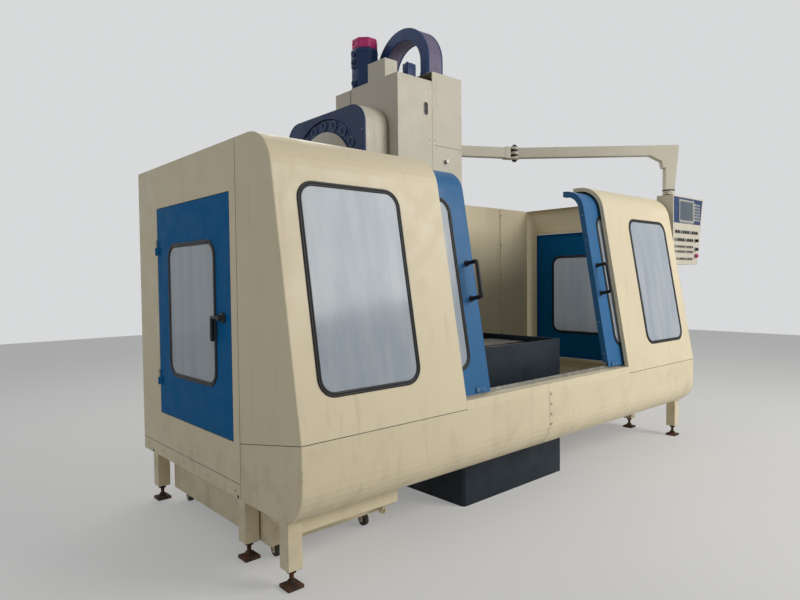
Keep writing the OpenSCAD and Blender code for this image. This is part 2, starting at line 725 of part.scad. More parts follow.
module table() color(steel) difference() {
    union() {
        block([table_x0, table_y - table_d / 2, table_z0], [table_x1, table_y + table_d / 2, table_z1]);
        // guide lips that reach down beside the saddle's rails
        for (s = [-1, 1]) translate([0, table_y + s * (table_guide + 45 + slip), 0])
            block([table_x0, -15, saddle_top + 6], [table_x1, 15, table_z0]);
    }
    for (i = [-2:2]) t_slot(table_y + i * slot_pitch);
    // coolant gutters along the front and rear edges
    for (s = [-1, 1]) translate([0, table_y + s * (table_d / 2 - 14), 0])
        block([table_x0 + 20, -7, table_z1 - 12], [table_x1 - 20, 7, table_z1 + 1]);
}
cover_t = 2;
cover_step = 6;
module way_cover(n, y0) {
    half = base_w / 2 - rim - 34 + n * (cover_t + 3);
    z = base_z - 56 + n * (cover_t + cover_step);
    block([-half, y0, z], [half, y0 + cover_l, z + cover_t]);
    for (x = [-half, half - cover_t]) block([x, y0, well_floor + 4 + slip], [x + cover_t, y0 + cover_l, z]);
    // stiff lip across the leading end
    block([-half, y0, z + slip - cover_step], [half, y0 + 3, z]);
}
cover_3_y = saddle_y0 - cover_l;
cover_2_y = (well_front + cover_3_y) / 2;
module way_cover_front() color(steel) way_cover(0, well_front);
module way_cover_middle() color(steel) way_cover(1, cover_2_y);
module way_cover_rear() color(steel) way_cover(2, cover_3_y);

// Head: casting with the spindle nose, and a folded cover with a raised right half
head_front = -head_reach;
head_rear = throat - slip;
cover_rear = column_front - 17;
nose_z = head_low - 90;
split_x = 10;
module head_casting() color(slate) difference() {
    union() {
        block([-240, head_front + 40, head_low + 10], [240, head_rear, head_z - 190]);
        translate([0, 0, nose_z]) cylinder(r1 = 95, r2 = 130, h = 100);
    }
    translate([0, 0, nose_z - 1]) cylinder(r = spindle_r + spindle_gap, h = 441);
    for (s = [-1, 1]) translate([s * z_way_gauge / 2, throat, head_low])
        block([-z_way_w / 2 - 1, -40, 0], [z_way_w / 2 + 1, -30, 5]);
}
module spindle() color(steel) translate([0, 0, nose_z - 28]) difference() {
    union() {
        cylinder(r = 70, h = 26);
        translate([0, 0, 26]) cylinder(r = spindle_r, h = 400);
        for (a = [0, 180]) rotate(a) block([38, -12, -6], [62, 12, 1]);
    }
    translate([0, 0, -1]) cylinder(r1 = 35, r2 = 21, h = 102);
    translate([0, 0, 100]) cylinder(r = 13, h = 200);
}
hatch_z = 2583;
z_way_clear = 250;
module head_cover() color(cream) {
    w = head_w / 2;
    difference() {
        union() {
            block([-w, head_front, head_low], [split_x, cover_rear, head_z]);
            block([split_x, head_front, head_low], [w, cover_rear, head_z + head_step]);
        }
        block([sheet - w, head_front + sheet, head_low - 1], [split_x + 1, cover_rear + 1, head_z - sheet]);
        block([split_x, head_front + sheet, head_low - 1],
            [w - sheet, cover_rear + 1, head_z + head_step - sheet]);
        // room for the column's ways when the head comes down
        block([-z_way_clear, throat - 2, head_z - sheet - 1],
            [z_way_clear, cover_rear + 1, head_z + head_step + 1]);
        // slotted lifting hole in the front
        translate([-59, head_front - 1, 2861]) rotate([-90, 0, 0]) linear_extrude(5)
            polygon(concat(arc([0, 30], 20, 0, 180), arc([0, -30], 20, 180, 360)));
        // seam round the lower right hatch
        block([split_x + 4, head_front - 1, hatch_z], [w + 1, head_front + 1.5, hatch_z + seam]);
        block([split_x + 2, head_front - 1, head_low - 1],
            [split_x + 4, head_front + 1.5, head_z + head_step + 1]);
    }
    // raised box over the spindle motor, with its cable junction
    block([-w, -83, head_z], [-231, 127, head_z + 145]);
    block([-159, -130, head_z], [-73, -70, head_z + 140]);
    // hatch knob
    translate([167, head_front, hatch_z - 117]) rotate([90, 0, 0]) cylinder(r1 = 13, r2 = 16, h = 18);
    // inner ribs that fasten the cover to the casting
    for (x = [sheet - w, 240]) block([x, 60, head_low + 160], [x + w - sheet - 240, 90, head_low + 200]);
}

// Tool magazine: shell with a round-cornered outline, dark face plate and turning disc
mag_inner_x = -head_w / 2 - 15;
mag_x = mag_inner_x - mag_w;
mag_y = column_front + 53;
face_t = 12;
mag_corner = 170;
module mag_outline(o) polygon(concat(
    arc([mag_r - mag_corner, mag_r - mag_corner], mag_corner - o, 0, 90),
    arc([mag_corner - mag_r, mag_r - mag_corner], mag_corner - o, 90, 180),
    arc([mag_corner - mag_r, mag_corner - mag_r], mag_corner - o, 180, 270),
    arc([mag_r - mag_corner, mag_corner - mag_r], mag_corner - o, 270, 360)));
module at_magazine() translate([mag_x, mag_y, mag_z]) rotate([90, 0, 90]) children();
axle_r = 60;
module magazine_housing() color(cream) at_magazine() {
    translate([0, 0, face_t]) difference() {
        linear_extrude(mag_w - face_t) mag_outline(0);
        translate([0, 0, -1]) linear_extrude(mag_w - face_t - 5) mag_outline(5);
        translate([0, 0, 80]) difference() {
            cylinder(r = mag_r * 2, h = seam);
            linear_extrude(seam) mag_outline(2);
        }
    }
    // fixed axle of the disc, with the hub cap in front
    translate([0, 0, -6]) cylinder(r = axle_r, h = mag_w + 2);
    translate([0, 0, -6]) cylinder(r = hub_r, h = 10);
}
hub_r = 395;
disc_r = 495;
module magazine_face() color(navy) at_magazine() difference() {
    linear_extrude(face_t) mag_outline(0);
    translate([0, 0, -1]) cylinder(r = disc_r + 5, h = face_t + 2, $fn = 96);
}
module magazine_disc() color(navy) at_magazine() difference() {
    union() {
        translate([0, 0, 12]) cylinder(r = disc_r, h = 12, $fn = 96);
        translate([0, 0, 12]) cylinder(r = axle_r + 40, h = 60);
        for (i = [0:pockets - 1]) rotate(i * 360 / pockets) translate([pocket_ring, 0, 6])
            cylinder(r = pocket_r, h = 120, $fn = 24);
    }
    translate([0, 0, -1]) cylinder(r = axle_r + pin_gap, h = 80);
    for (i = [0:pockets - 1]) rotate(i * 360 / pockets) translate([pocket_ring, 0, 5])
        cylinder(r = pocket_r - 7, h = 40, $fn = 24);
}

// Chip pans: sheets that fall from the end walls to the base
pan_t = 2;
pan_high = rail_top + 120;
pan_low = rail_top - 20;
module chip_pan(x0, z0, x1, z1) translate([0, apron_back_y, 0]) rotate([90, 0, 0]) mirror([0, 0, 1])
    linear_extrude(rear_wall_y - apron_back_y) polygon([[x0, z0], [x1, z1], [x1, z1 + 60],
        [x1 - pan_t * sign(x1 - x0), z1 + 60], [x1 - pan_t * sign(x1 - x0), z1 + pan_t], [x0, z0 + pan_t]]);
module chip_pans() color(cream) {
    chip_pan(left_x + sheet, pan_high, -base_w / 2, pan_low);
    chip_pan(right_x - sheet, pan_high, base_w / 2, pan_low);
}

// Coolant tank under the left half, on four casters
tank_lip = 10;
tank_x = left_x + sheet + leg + tank_lip + 2;
tank_y = front_y + tank_set;
tank_z = 2 * wheel_r + 14;
rim_z = tank_z + tank_h;
rim_h = 24;
tray_x1 = tank_x + tray_l;
tray_y = tank_y - tray_d;
tray_z = rim_z + rim_h - tray_h;
caster_xs = [tank_x + 70, tank_x + tank_l - 70];
caster_ys = [tank_y + 66, tank_y + tank_d - 90];
valve_x = tank_x + tank_l - 30;
module coolant_tank() color(cream) {
    difference() {
        union() {
            block([tank_x, tank_y, tank_z], [tank_x + tank_l, tank_y + tank_d, rim_z]);
            block([tank_x - tank_lip, tank_y, rim_z],
                [tank_x + tank_l + tank_lip, tank_y + tank_d + tank_lip, rim_z + rim_h]);
            // shallow tray at the front, under the apron
            block([tank_x - tank_lip, tray_y, tray_z], [tray_x1, tank_y + sheet, rim_z + rim_h]);
        }
        block([tank_x + sheet, tank_y + sheet, tank_z + sheet],
            [tank_x + tank_l - sheet, tank_y + tank_d - sheet, rim_z + rim_h + 1]);
        block([tank_x + sheet - tank_lip, tray_y + sheet, tray_z + sheet],
            [tray_x1 - sheet, tank_y, rim_z + rim_h + 1]);
        // the tray spills into the tank over a low sill
        block([tank_x + 40, tank_y - 1, tray_z + 12],
            [tray_x1 - 40, tank_y + sheet + 1, rim_z + rim_h + 1]);
    }
    // lid over the rear part
    block([tank_x, tank_y + 500, rim_z - sheet], [tank_x + tank_l, tank_y + tank_d, rim_z]);
    // caster forks with their pins
    for (x = caster_xs) for (y = caster_ys) {
        for (u = [x - 21, x + 17]) block([u, y - 14, wheel_r - 14], [u + 4, y + 14, tank_z - 4]);
        block([x - 40, y - 40, tank_z - 4], [x + 40, y + 40, tank_z]);
        translate([x - 21, y, wheel_r]) rotate([0, 90, 0]) cylinder(r = 6, h = 42);
    }
    // drain cock low in the front
    translate([valve_x, tank_y, tank_z + 30]) rotate([90, 0, 0]) {
        cylinder(r = 13, h = 50);
        translate([0, 0, 50]) cylinder(r = 20, h = 34, $fn = 6);
        translate([0, 0, 84]) cylinder(r = 10, h = 20);
    }
    block([valve_x - 6, tank_y - 72, tank_z + 47], [valve_x + 84, tank_y - 60, tank_z + 53]);
}
module caster_wheel(x, y) color(black) translate([x - 15, y, wheel_r]) rotate([0, 90, 0]) difference() {
    rotate_extrude() polygon([[4, 0], [14, 0], [14, 3], [24, 3], [26, 0], [wheel_r - 4, 0], [wheel_r, 4],
        [wheel_r, 26], [wheel_r - 4, 30], [26, 30], [24, 27], [14, 27], [14, 30], [4, 30]]);
    translate([0, 0, -1]) cylinder(r = 6 + pin_gap, h = 32);
}
module caster_wheel_1() caster_wheel(caster_xs[0], caster_ys[0]);
module caster_wheel_2() caster_wheel(caster_xs[1], caster_ys[0]);
module caster_wheel_3() caster_wheel(caster_xs[0], caster_ys[1]);
module caster_wheel_4() caster_wheel(caster_xs[1], caster_ys[1]);

// Electrical cabinet behind the right rear wall, standing on its own plinth
cabinet_x = base_w / 2 + 60;
cabinet_w = 900;
cabinet_y = rear_wall_y + 60;
cabinet_d = 420;
cabinet_z = 1950;
module electrical_cabinet() color(cream) {
    difference() {
        block([cabinet_x, cabinet_y, 100], [cabinet_x + cabinet_w, cabinet_y + cabinet_d, cabinet_z]);
        // door seams and vent slots in the rear face
        for (x = [cabinet_x + 12, cabinet_x + cabinet_w / 2, cabinet_x + cabinet_w - 14])
            block([x, cabinet_y + cabinet_d - 2, 130],
                [x + seam, cabinet_y + cabinet_d + 1, cabinet_z - 30]);
        for (z = [130, cabinet_z - 32]) block([cabinet_x + 12, cabinet_y + cabinet_d - 2, z],
            [cabinet_x + cabinet_w - 12, cabinet_y + cabinet_d + 1, z + seam]);
        for (u = [0.25, 0.75]) for (i = [0:6])
            block([cabinet_x + cabinet_w * u - 90, cabinet_y + cabinet_d - 6, 250 + i * 24],
            [cabinet_x + cabinet_w * u + 90, cabinet_y + cabinet_d + 1, 260 + i * 24]);
    }
    block([cabinet_x + 30, cabinet_y + 30, 0],
        [cabinet_x + cabinet_w - 30, cabinet_y + cabinet_d - 30, 100]);
    for (s = [-1, 1]) translate([cabinet_x + cabinet_w / 2 + s * 60, cabinet_y + cabinet_d, 1080]) {
        block([-12, 0, -70], [12, 6, 70]);
        block([-7, 6, -50], [7, 22, 10]);
    }
}

// Cable carrier: arch of links from the raised half of the head to the column's top
carrier_r = 330;
carrier_t = 100;
carrier_w = 166;
carrier_x = 22;
carrier_y = head_front + 45 + carrier_r;
carrier_z = head_z + head_step + slip;
carrier_spring = 120;
links = 16;
link_groove = 5;
module cable_carrier() color(navy) {
    along_x(carrier_x, carrier_w) {
        difference() {
            polygon(concat(arc([carrier_y, carrier_z + carrier_spring], carrier_r, 180, 0, 32),
                arc([carrier_y, carrier_z + carrier_spring], carrier_r - carrier_t, 0, 180, 32)));
            for (i = [1:links - 1]) translate([carrier_y, carrier_z + carrier_spring])
                rotate(i * 180 / links) translate([carrier_r, 0])
                    square([2 * link_groove, 3], center = true);
        }
        translate([carrier_y - carrier_r, carrier_z]) square([carrier_t, carrier_spring + eps]);
        translate([carrier_y + carrier_r - carrier_t, column_z])
            square([carrier_t, carrier_z + carrier_spring - column_z + eps]);
    }
}

// Swinging arm of the control panel: two box beams, an upright drop post and a swivel stub
elbow = [pivot_x + arm_1 * cos(arm_a1), pivot_y + arm_1 * sin(arm_a1)];
tip = [right_x + post_gap, front_y + post_in];
arm_2 = norm(tip - elbow);
arm_a2 = atan2(tip[1] - elbow[1], tip[0] - elbow[0]);
elbow_r = 46;
hub_step = 1;
fork_t = 8;
collar_l = 50;
beam_z0 = bracket_z + hub_step;
beam_z1 = bracket_z + arm_h - hub_step;
module beam(from, angle, len) translate([from[0], from[1], 0]) rotate(angle)
    block([0, -arm_w / 2, beam_z0], [len, arm_w / 2, beam_z1]);
module arm_link_1() color(cream) {
    difference() {
        union() {
            beam([pivot_x, pivot_y], arm_a1, arm_1 - elbow_r - 12);
            translate([pivot_x, pivot_y, bracket_z]) cylinder(r = elbow_r, h = arm_h);
        }
        translate([pivot_x, pivot_y, bracket_z - 1]) cylinder(r = pin_r + pin_gap, h = arm_h + 2);
    }
    // elbow fork: a plate above and below, a collar that holds them, and the pin
    for (z = [bracket_z - fork_t, bracket_z + arm_h + slip]) translate([elbow[0], elbow[1], z]) {
        cylinder(r = elbow_r - 1, h = fork_t - slip);
        rotate(arm_a1 + 180) block([0, -arm_w / 2, 0], [elbow_r + 12 + collar_l, arm_w / 2, fork_t - slip]);
    }
    translate([elbow[0], elbow[1], bracket_z - fork_t - 10])
        cylinder(r = pin_r, h = arm_h + 2 * fork_t + 20);
    translate([elbow[0], elbow[1], bracket_z]) rotate(arm_a1 + 180)
        block([elbow_r + 12, -arm_w / 2 - 2, -fork_t + 1],
            [elbow_r + 12 + collar_l, arm_w / 2 + 2, arm_h + fork_t - 1]);
}
post_w = 84;
post_low = 2336;
// How much the post leans out up to the beam, at its outer side
post_out = 42;
// Bent gusset up the inner side of the post and along under the beam
gusset_foot = 210;
gusset_t = 24;
gusset_lean = 12;
gusset_l = 108;
gusset_h = 55;
stub_r = 52;
pendant_top = 2280;
module arm_link_2() color(cream) {
    inner = arm_2 - post_w / 2;
    difference() {
        union() {
            // beam and tapered drop post in one outline, with a bent gusset in the inner corner
            translate([elbow[0], elbow[1], 0]) rotate([90, 0, arm_a2]) translate([0, 0, -arm_w / 2])
                linear_extrude(arm_w) polygon([[0, beam_z0], [0, beam_z1],
                    [arm_2 + post_w / 2 + post_out, beam_z1], [arm_2 + post_w / 2, post_low],
                    [inner, post_low], [inner, post_low + gusset_foot],
                    [inner - gusset_t, post_low + gusset_foot],
                    [inner - gusset_t - gusset_lean, beam_z0 - gusset_h],
                    [inner - gusset_t - gusset_lean - gusset_l, beam_z0]]);
            translate([elbow[0], elbow[1], bracket_z]) cylinder(r = elbow_r, h = arm_h);
        }
        translate([elbow[0], elbow[1], bracket_z - 1]) cylinder(r = pin_r + pin_gap, h = arm_h + 2);
    }
    translate([tip[0], tip[1], pendant_top + slip])
        cylinder(r = stub_r, h = post_low - pendant_top - slip + 1);
    // upright pin that the panel swivels on
    translate([tip[0], tip[1], pendant_top - 59]) cylinder(r = 14, h = 60);
}

// Control panel: case with a tapered lower end, screen bezel, rows of keys
case_x = tip[0] - 75;
case_y = tip[1] - panel_t / 2;
case_z = pendant_top - panel_h;
taper = 140;
screen_w = 304;
screen_h = 185;
screen_x = case_x + 141;
screen_z = pendant_top - 49 - screen_h;
bezel_z = screen_z - 30;
soft_key_x = screen_x + screen_w + 16;
function face_w(z) = panel_w - taper * (pendant_top - z) / panel_h;
module key_row(z, n, pitch, w, h) for (i = [0:n - 1])
    translate([case_x + 36 + i * pitch, case_y - 7, case_z + z]) cube([w, 7, h]);
// Face of the screen's frame, which narrows with the case
module bezel(depth) translate([0, case_y + depth, 0]) rotate([90, 0, 0]) linear_extrude(depth)
    polygon([[case_x + 12, bezel_z], [case_x + face_w(bezel_z) - 18, bezel_z],
        [case_x + face_w(pendant_top - 14) - 18, pendant_top - 14], [case_x + 12, pendant_top - 14]]);
module pendant_case() color(cream) {
    difference() {
        translate([0, case_y + panel_t, 0]) rotate([90, 0, 0]) linear_extrude(panel_t)
            polygon([[case_x, case_z], [case_x + face_w(case_z), case_z],
                [case_x + panel_w, pendant_top], [case_x, pendant_top]]);
        translate([tip[0], tip[1], pendant_top - 60]) cylinder(r = 14 + pin_gap, h = 61);
        translate([0, -1, 0]) bezel(13);
        knob_bores();
    }
    key_row(300, 10, 52, 28, 24);
    key_row(224, 8, 52, 28, 24);
    for (z = [112, 160]) key_row(z, 8, 52, 26, 20);
    key_row(44, 9, 44, 32, 16);
}
module pendant_screen() color(navy) difference() {
    bezel(12);
    block([screen_x, case_y - 1, screen_z], [screen_x + screen_w, case_y + 6, screen_z + screen_h]);
    for (i = [0:5]) for (j = [0:2]) translate([soft_key_x + j * 48, case_y, screen_z + 4 + i * 30])
        block([0, -1, 0], [40, 3, 24]);
}
knob_x = [case_x + 500, case_x + 500, case_x + 495];
knob_z = [case_z + 236, case_z + 150, case_z + 84];
stem_r = 7;
stem_room = 12;
module knob_bores() for (i = [0:2])
    translate([knob_x[i], case_y + 40 + stem_room, knob_z[i]]) rotate([90, 0, 0])
        cylinder(r = stem_r + pin_gap, h = 41 + stem_room);
module knob(i, r, h) translate([knob_x[i], case_y, knob_z[i]]) rotate([90, 0, 0]) {
    translate([0, 0, -39]) cylinder(r = stem_r, h = 39 + 12);
    translate([0, 0, 12]) cylinder(r1 = r, r2 = r * 0.86, h = h);
}
module emergency_stop() color(crimson) {
    knob(2, 20, 14);
    translate([knob_x[2], case_y - 26, knob_z[2]]) rotate([90, 0, 0]) cylinder(r1 = 20, r2 = 14, h = 6);
}
module mode_knob() color(black) {
    knob(0, 15, 12);
    block([knob_x[0] - 3, case_y - 32, knob_z[0] - 14], [knob_x[0] + 3, case_y - 24, knob_z[0] + 14]);
}
module feed_knob() color(black) {
    knob(1, 15, 12);
    block([knob_x[1] - 3, case_y - 32, knob_z[1] - 14], [knob_x[1] + 3, case_y - 24, knob_z[1] + 14]);
}

base_casting();
column();
z_motor();
z_motor_cap();
enclosure_frame();
levelling_feet();
front_apron_left();
front_apron_right();
left_front_panel();
right_front_panel();
front_gaskets();
front_glass();
left_end_caps();
left_side_wall();
right_end_caps();
right_side_wall();
rear_walls();
door_rails();
chip_pans();
coolant_tank();
magazine_housing();
magazine_face();
electrical_cabinet();
cable_carrier();
way_cover_front();
left_door();
left_door_gasket();
left_door_glass();
left_door_handle();
right_door();
right_door_gasket();
right_door_glass();
right_door_handle();
left_side_door();
left_side_gasket();
left_side_glass();
left_latch();
right_side_door();
right_side_gasket();
right_side_glass();
right_latch();
saddle();
table();
way_cover_middle();
way_cover_rear();
head_cover();
head_casting();
spindle();
magazine_disc();
arm_link_1();
arm_link_2();
pendant_case();
pendant_screen();
emergency_stop();
mode_knob();
feed_knob();
caster_wheel_1();
caster_wheel_2();
caster_wheel_3();
caster_wheel_4();
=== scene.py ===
"""The looks of a CNC machining center with a sheet-metal enclosure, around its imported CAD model.

Metres, with the CAD's frame: X right, Y back, Z up, the origin on the floor below the spindle.
"""

import json
from math import atan2, cos, pi, radians, sin, tan

import bmesh
import bpy
from mathutils import Matrix, Vector


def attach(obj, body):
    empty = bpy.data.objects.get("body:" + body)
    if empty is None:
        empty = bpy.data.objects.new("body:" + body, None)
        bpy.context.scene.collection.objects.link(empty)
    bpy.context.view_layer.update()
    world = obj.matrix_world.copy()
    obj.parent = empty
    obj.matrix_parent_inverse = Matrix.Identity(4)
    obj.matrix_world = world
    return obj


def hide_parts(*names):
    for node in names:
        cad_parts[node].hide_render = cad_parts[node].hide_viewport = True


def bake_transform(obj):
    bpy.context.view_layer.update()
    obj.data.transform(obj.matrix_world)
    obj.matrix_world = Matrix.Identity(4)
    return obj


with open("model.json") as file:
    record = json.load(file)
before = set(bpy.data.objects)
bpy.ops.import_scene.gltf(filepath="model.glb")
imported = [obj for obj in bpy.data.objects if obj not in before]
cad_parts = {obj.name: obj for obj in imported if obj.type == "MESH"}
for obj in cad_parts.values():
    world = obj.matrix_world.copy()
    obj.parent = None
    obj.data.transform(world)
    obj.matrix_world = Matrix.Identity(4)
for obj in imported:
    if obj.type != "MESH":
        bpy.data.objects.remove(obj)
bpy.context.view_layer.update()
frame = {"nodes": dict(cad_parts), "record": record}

# Camera at the photograph's angle, its focal length in pixels of a picture that wide
PICTURE_WIDE, FOCAL_LENGTH, SENSOR = 800, 606.93, 36
CAMERA_EYE = (-3.490, -3.727, 1.5)
CAMERA_RIGHT = Vector((0.74469769, -0.667314, -0.01083384))
CAMERA_UP = Vector((0.03066302, 0.01799406, 0.9993678))
CAMERA_BACK = Vector((-0.66669718, -0.74455909, 0.033862))
photo_camera = bpy.data.cameras.new("photo_camera")
photo_camera.sensor_width = SENSOR
photo_camera.lens = FOCAL_LENGTH * SENSOR / PICTURE_WIDE
camera = bpy.data.objects.new("photo_camera", photo_camera)
bpy.context.scene.collection.objects.link(camera)
camera.matrix_world = Matrix.Translation(CAMERA_EYE) @ Matrix(
    (CAMERA_RIGHT, CAMERA_UP, CAMERA_BACK)).transposed().to_4x4()
bpy.context.scene.camera = camera

# Driving sizes, as in the CAD
LEFT, RIGHT = -1.990, 2.275
FRONT, REAR = -1.360, 0.690
ROOF, SEAM = 2.255, 0.735
SLOPE = radians(9.9)
SHEET, TUBE, HALF_GAP = 0.003, 0.080, 0.0004
SIDES = ((-1, "left"), (1, "right"))


def linear(red, green, blue):
    """A colour read as it looks, 0 to 255, as Blender's shaders want it."""
    def step(v):
        v /= 255
        return v / 12.92 if v <= 0.04045 else ((v + 0.055) / 1.055) ** 2.4
    return step(red), step(green), step(blue), 1.0


def tinted(colour, gain, lift=0.0):
    return tuple(min(1, c * gain + lift) for c in colour[:3]) + (1,)


class Finish:
    """A node material under construction, with its surface shader and a few shared patterns."""

    def __init__(self, name, colour, roughness, metallic=0.0):
        self.material = bpy.data.materials.new(name)
        self.material.use_nodes = True
        self.tree = self.material.node_tree
        self.surface = self.tree.nodes["Principled BSDF"]
        self.surface.inputs["Base Color"].default_value = colour
        self.surface.inputs["Roughness"].default_value = roughness
        self.surface.inputs["Metallic"].default_value = metallic
        self.surface.inputs["Specular IOR Level"].default_value = 0.5 if metallic else 0.3
        self.place = self.tree.nodes.new("ShaderNodeTexCoord").outputs["Object"]

    def add(self, kind, **settings):
        node = self.tree.nodes.new(kind)
        for name, value in settings.items():
            setattr(node, name, value)
        return node

    def link(self, output, socket):
        self.tree.links.new(output, socket)

    def stretched(self, x, y, z):
        """Object coordinates with each axis scaled, for streaks and brush marks."""
        mapping = self.add("ShaderNodeMapping")
        mapping.inputs["Scale"].default_value = (x, y, z)
        self.link(self.place, mapping.inputs["Vector"])
        return mapping.outputs["Vector"]

    def noise(self, scale, detail=4.0, rough=0.55, where=None):
        node = self.add("ShaderNodeTexNoise")
        node.inputs["Scale"].default_value = scale
        node.inputs["Detail"].default_value = detail
        node.inputs["Roughness"].default_value = rough
        self.link(where or self.place, node.inputs["Vector"])
        return node.outputs["Fac"]

    def ramp(self, value, low, high, from_value=0.0, to_value=1.0):
        node = self.add("ShaderNodeMapRange")
        node.interpolation_type = "SMOOTHSTEP"
        self.link(value, node.inputs["Value"])
        for name, number in zip(("From Min", "From Max", "To Min", "To Max"),
                                (low, high, from_value, to_value)):
            node.inputs[name].default_value = number
        return node.outputs["Result"]

    def combined(self, first, second, operation="MULTIPLY"):
        node = self.add("ShaderNodeMath", operation=operation)
        node.use_clamp = True
        for value, socket in zip((first, second), node.inputs):
            if isinstance(value, float):
                socket.default_value = value
            else:
                self.link(value, socket)
        return node.outputs["Value"]

    def mix(self, mask, first, second):
        """The first colour where mask is 0 and the second where it is 1."""
        node = self.add("ShaderNodeMix", data_type="RGBA")
        self.link(mask, node.inputs["Factor"])
        for value, socket in zip((first, second), (node.inputs[6], node.inputs[7])):
            if isinstance(value, tuple):
                socket.default_value = value
            else:
                self.link(value, socket)
        return node.outputs[2]

    def rounded(self, radius):
        """The normal as it would be with every edge rounded."""
        node = self.add("ShaderNodeBevel", samples=4)
        node.inputs["Radius"].default_value = radius
        return node.outputs["Normal"]

    def edges(self, radius):
        """A mask of the sharp edges: the rounded normal there differs from the flat one."""
        flat = self.add("ShaderNodeNewGeometry")
        agree = self.add("ShaderNodeVectorMath", operation="DOT_PRODUCT")
        self.link(self.rounded(radius), agree.inputs[0])
        self.link(flat.outputs["Normal"], agree.inputs[1])
        return self.ramp(self.combined(1.0, agree.outputs["Value"], "SUBTRACT"), 0.02, 0.30)

    def height(self):
        split = self.add("ShaderNodeSeparateXYZ")
        self.link(self.place, split.inputs["Vector"])
        return split.outputs["Z"]

    def base(self, colour):
        self.link(colour, self.surface.inputs["Base Color"])

    def rough(self, value):
        self.link(value, self.surface.inputs["Roughness"])

    def bump(self, value, strength, distance, edge=0.0):
        """Relief from a pattern, over edges rounded in the shading by the given radius."""
        node = self.add("ShaderNodeBump")
        node.inputs["Strength"].default_value = strength
        node.inputs["Distance"].default_value = distance
        self.link(value, node.inputs["Height"])
        if edge:
            self.link(self.rounded(edge), node.inputs["Normal"])
        self.link(node.outputs["Normal"], self.surface.inputs["Normal"])


def sheet_paint(name, colour, dirt, bare, roughness=0.42, shine=0.3):
    """Enamel on folded sheet: orange peel, faded patches, grime low down, runs and chipped edges."""
    paint = Finish(name, colour, roughness)
    paint.surface.inputs["Specular IOR Level"].default_value = shine
    faded = paint.mix(paint.ramp(paint.noise(0.8, 4), 0.35, 0.72), colour, tinted(colour, 1.06))
    runs = paint.ramp(paint.noise(1.0, 5, 0.6, paint.stretched(16, 16, 1.1)), 0.56, 0.80, 0.0, 0.16)
    low = paint.ramp(paint.height(), 1.1, 0.1, 0.0, 0.34)
    grime = paint.combined(paint.ramp(paint.noise(5.5, 8, 0.66), 0.44, 0.78), low)
    dirty = paint.mix(paint.combined(runs, grime, "ADD"), faded, dirt)
    specks = paint.ramp(paint.noise(46, 3, 0.6), 0.745, 0.775)
    worn = paint.combined(paint.edges(0.004), paint.ramp(paint.noise(11, 5, 0.7), 0.54, 0.66))
    chips = paint.combined(paint.combined(specks, 0.75), worn, "ADD")
    paint.base(paint.mix(chips, dirty, bare))
    paint.rough(paint.ramp(paint.noise(7, 4), 0.3, 0.7, roughness - 0.07, roughness + 0.11))
    paint.bump(paint.noise(420, 2), 0.10, 0.0006, edge=0.0025)
    return paint.material


def cast_paint(name, colour, scratch, roughness=0.5):
    """Thick machine paint over filler on a casting: soft lumps, scuffs and light scratches."""
    paint = Finish(name, colour, roughness)
    cloudy = paint.mix(paint.ramp(paint.noise(2.6, 6, 0.6), 0.35, 0.75), colour,
                       tinted(colour, 1.3, 0.004))
    scuffs = paint.ramp(paint.noise(1.0, 6, 0.62, paint.stretched(3, 3, 26)), 0.62, 0.78, 0.0, 0.35)
    low = paint.ramp(paint.height(), 1.0, 0.05, 0.25, 1.0)
    worn = paint.combined(paint.edges(0.006), paint.ramp(paint.noise(9, 5, 0.7), 0.46, 0.62))
    paint.base(paint.mix(paint.combined(paint.combined(scuffs, low), worn, "ADD"), cloudy, scratch))
    paint.rough(paint.ramp(paint.noise(9, 4), 0.3, 0.7, roughness - 0.1, roughness + 0.12))
    paint.bump(paint.noise(38, 5, 0.6), 0.16, 0.002, edge=0.004)
    return paint.material


def plain(name, colour, roughness, metallic=0.0, grain=60, change=0.12, relief=0.1):
    """A finish with a fine grain in colour, gloss and relief."""
    skin = Finish(name, colour, roughness, metallic)
    skin.base(skin.mix(skin.ramp(skin.noise(grain / 6, 6, 0.6), 0.35, 0.65),
                       tinted(colour, 1 - change), tinted(colour, 1 + change, change * 0.01)))
    skin.rough(skin.ramp(skin.noise(grain, 3), 0.3, 0.7, roughness * 0.85, min(1, roughness * 1.2)))
    skin.bump(skin.noise(grain * 4, 3), relief, 0.0008, edge=0.0012)
    return skin.material


def rusted_plate():
    skin = Finish("rusted_plate", linear(110, 70, 44), 0.8)
    patches = skin.ramp(skin.noise(22, 8, 0.7), 0.4, 0.62)
    skin.base(skin.mix(patches, linear(58, 46, 40), linear(104, 70, 48)))
    skin.bump(skin.noise(90, 6, 0.7), 0.5, 0.002)
    return skin.material


def hazed_glass():
    """Laminated pane, hazed by coolant film and dust."""
    pane = Finish("hazed_safety_glass", linear(188, 200, 212), 0.1)
    pane.surface.inputs["Transmission Weight"].default_value = 0.4
    pane.surface.inputs["Specular IOR Level"].default_value = 0.03
    pane.surface.inputs["IOR"].default_value = 1.45
    film = pane.ramp(pane.noise(1.0, 6, 0.6, pane.stretched(9, 9, 0.5)), 0.3, 0.75)
    pane.base(pane.mix(film, linear(190, 202, 214), linear(210, 218, 226)))
    pane.rough(pane.ramp(pane.noise(3, 4), 0.3, 0.7, 0.10, 0.16))
    return pane.material


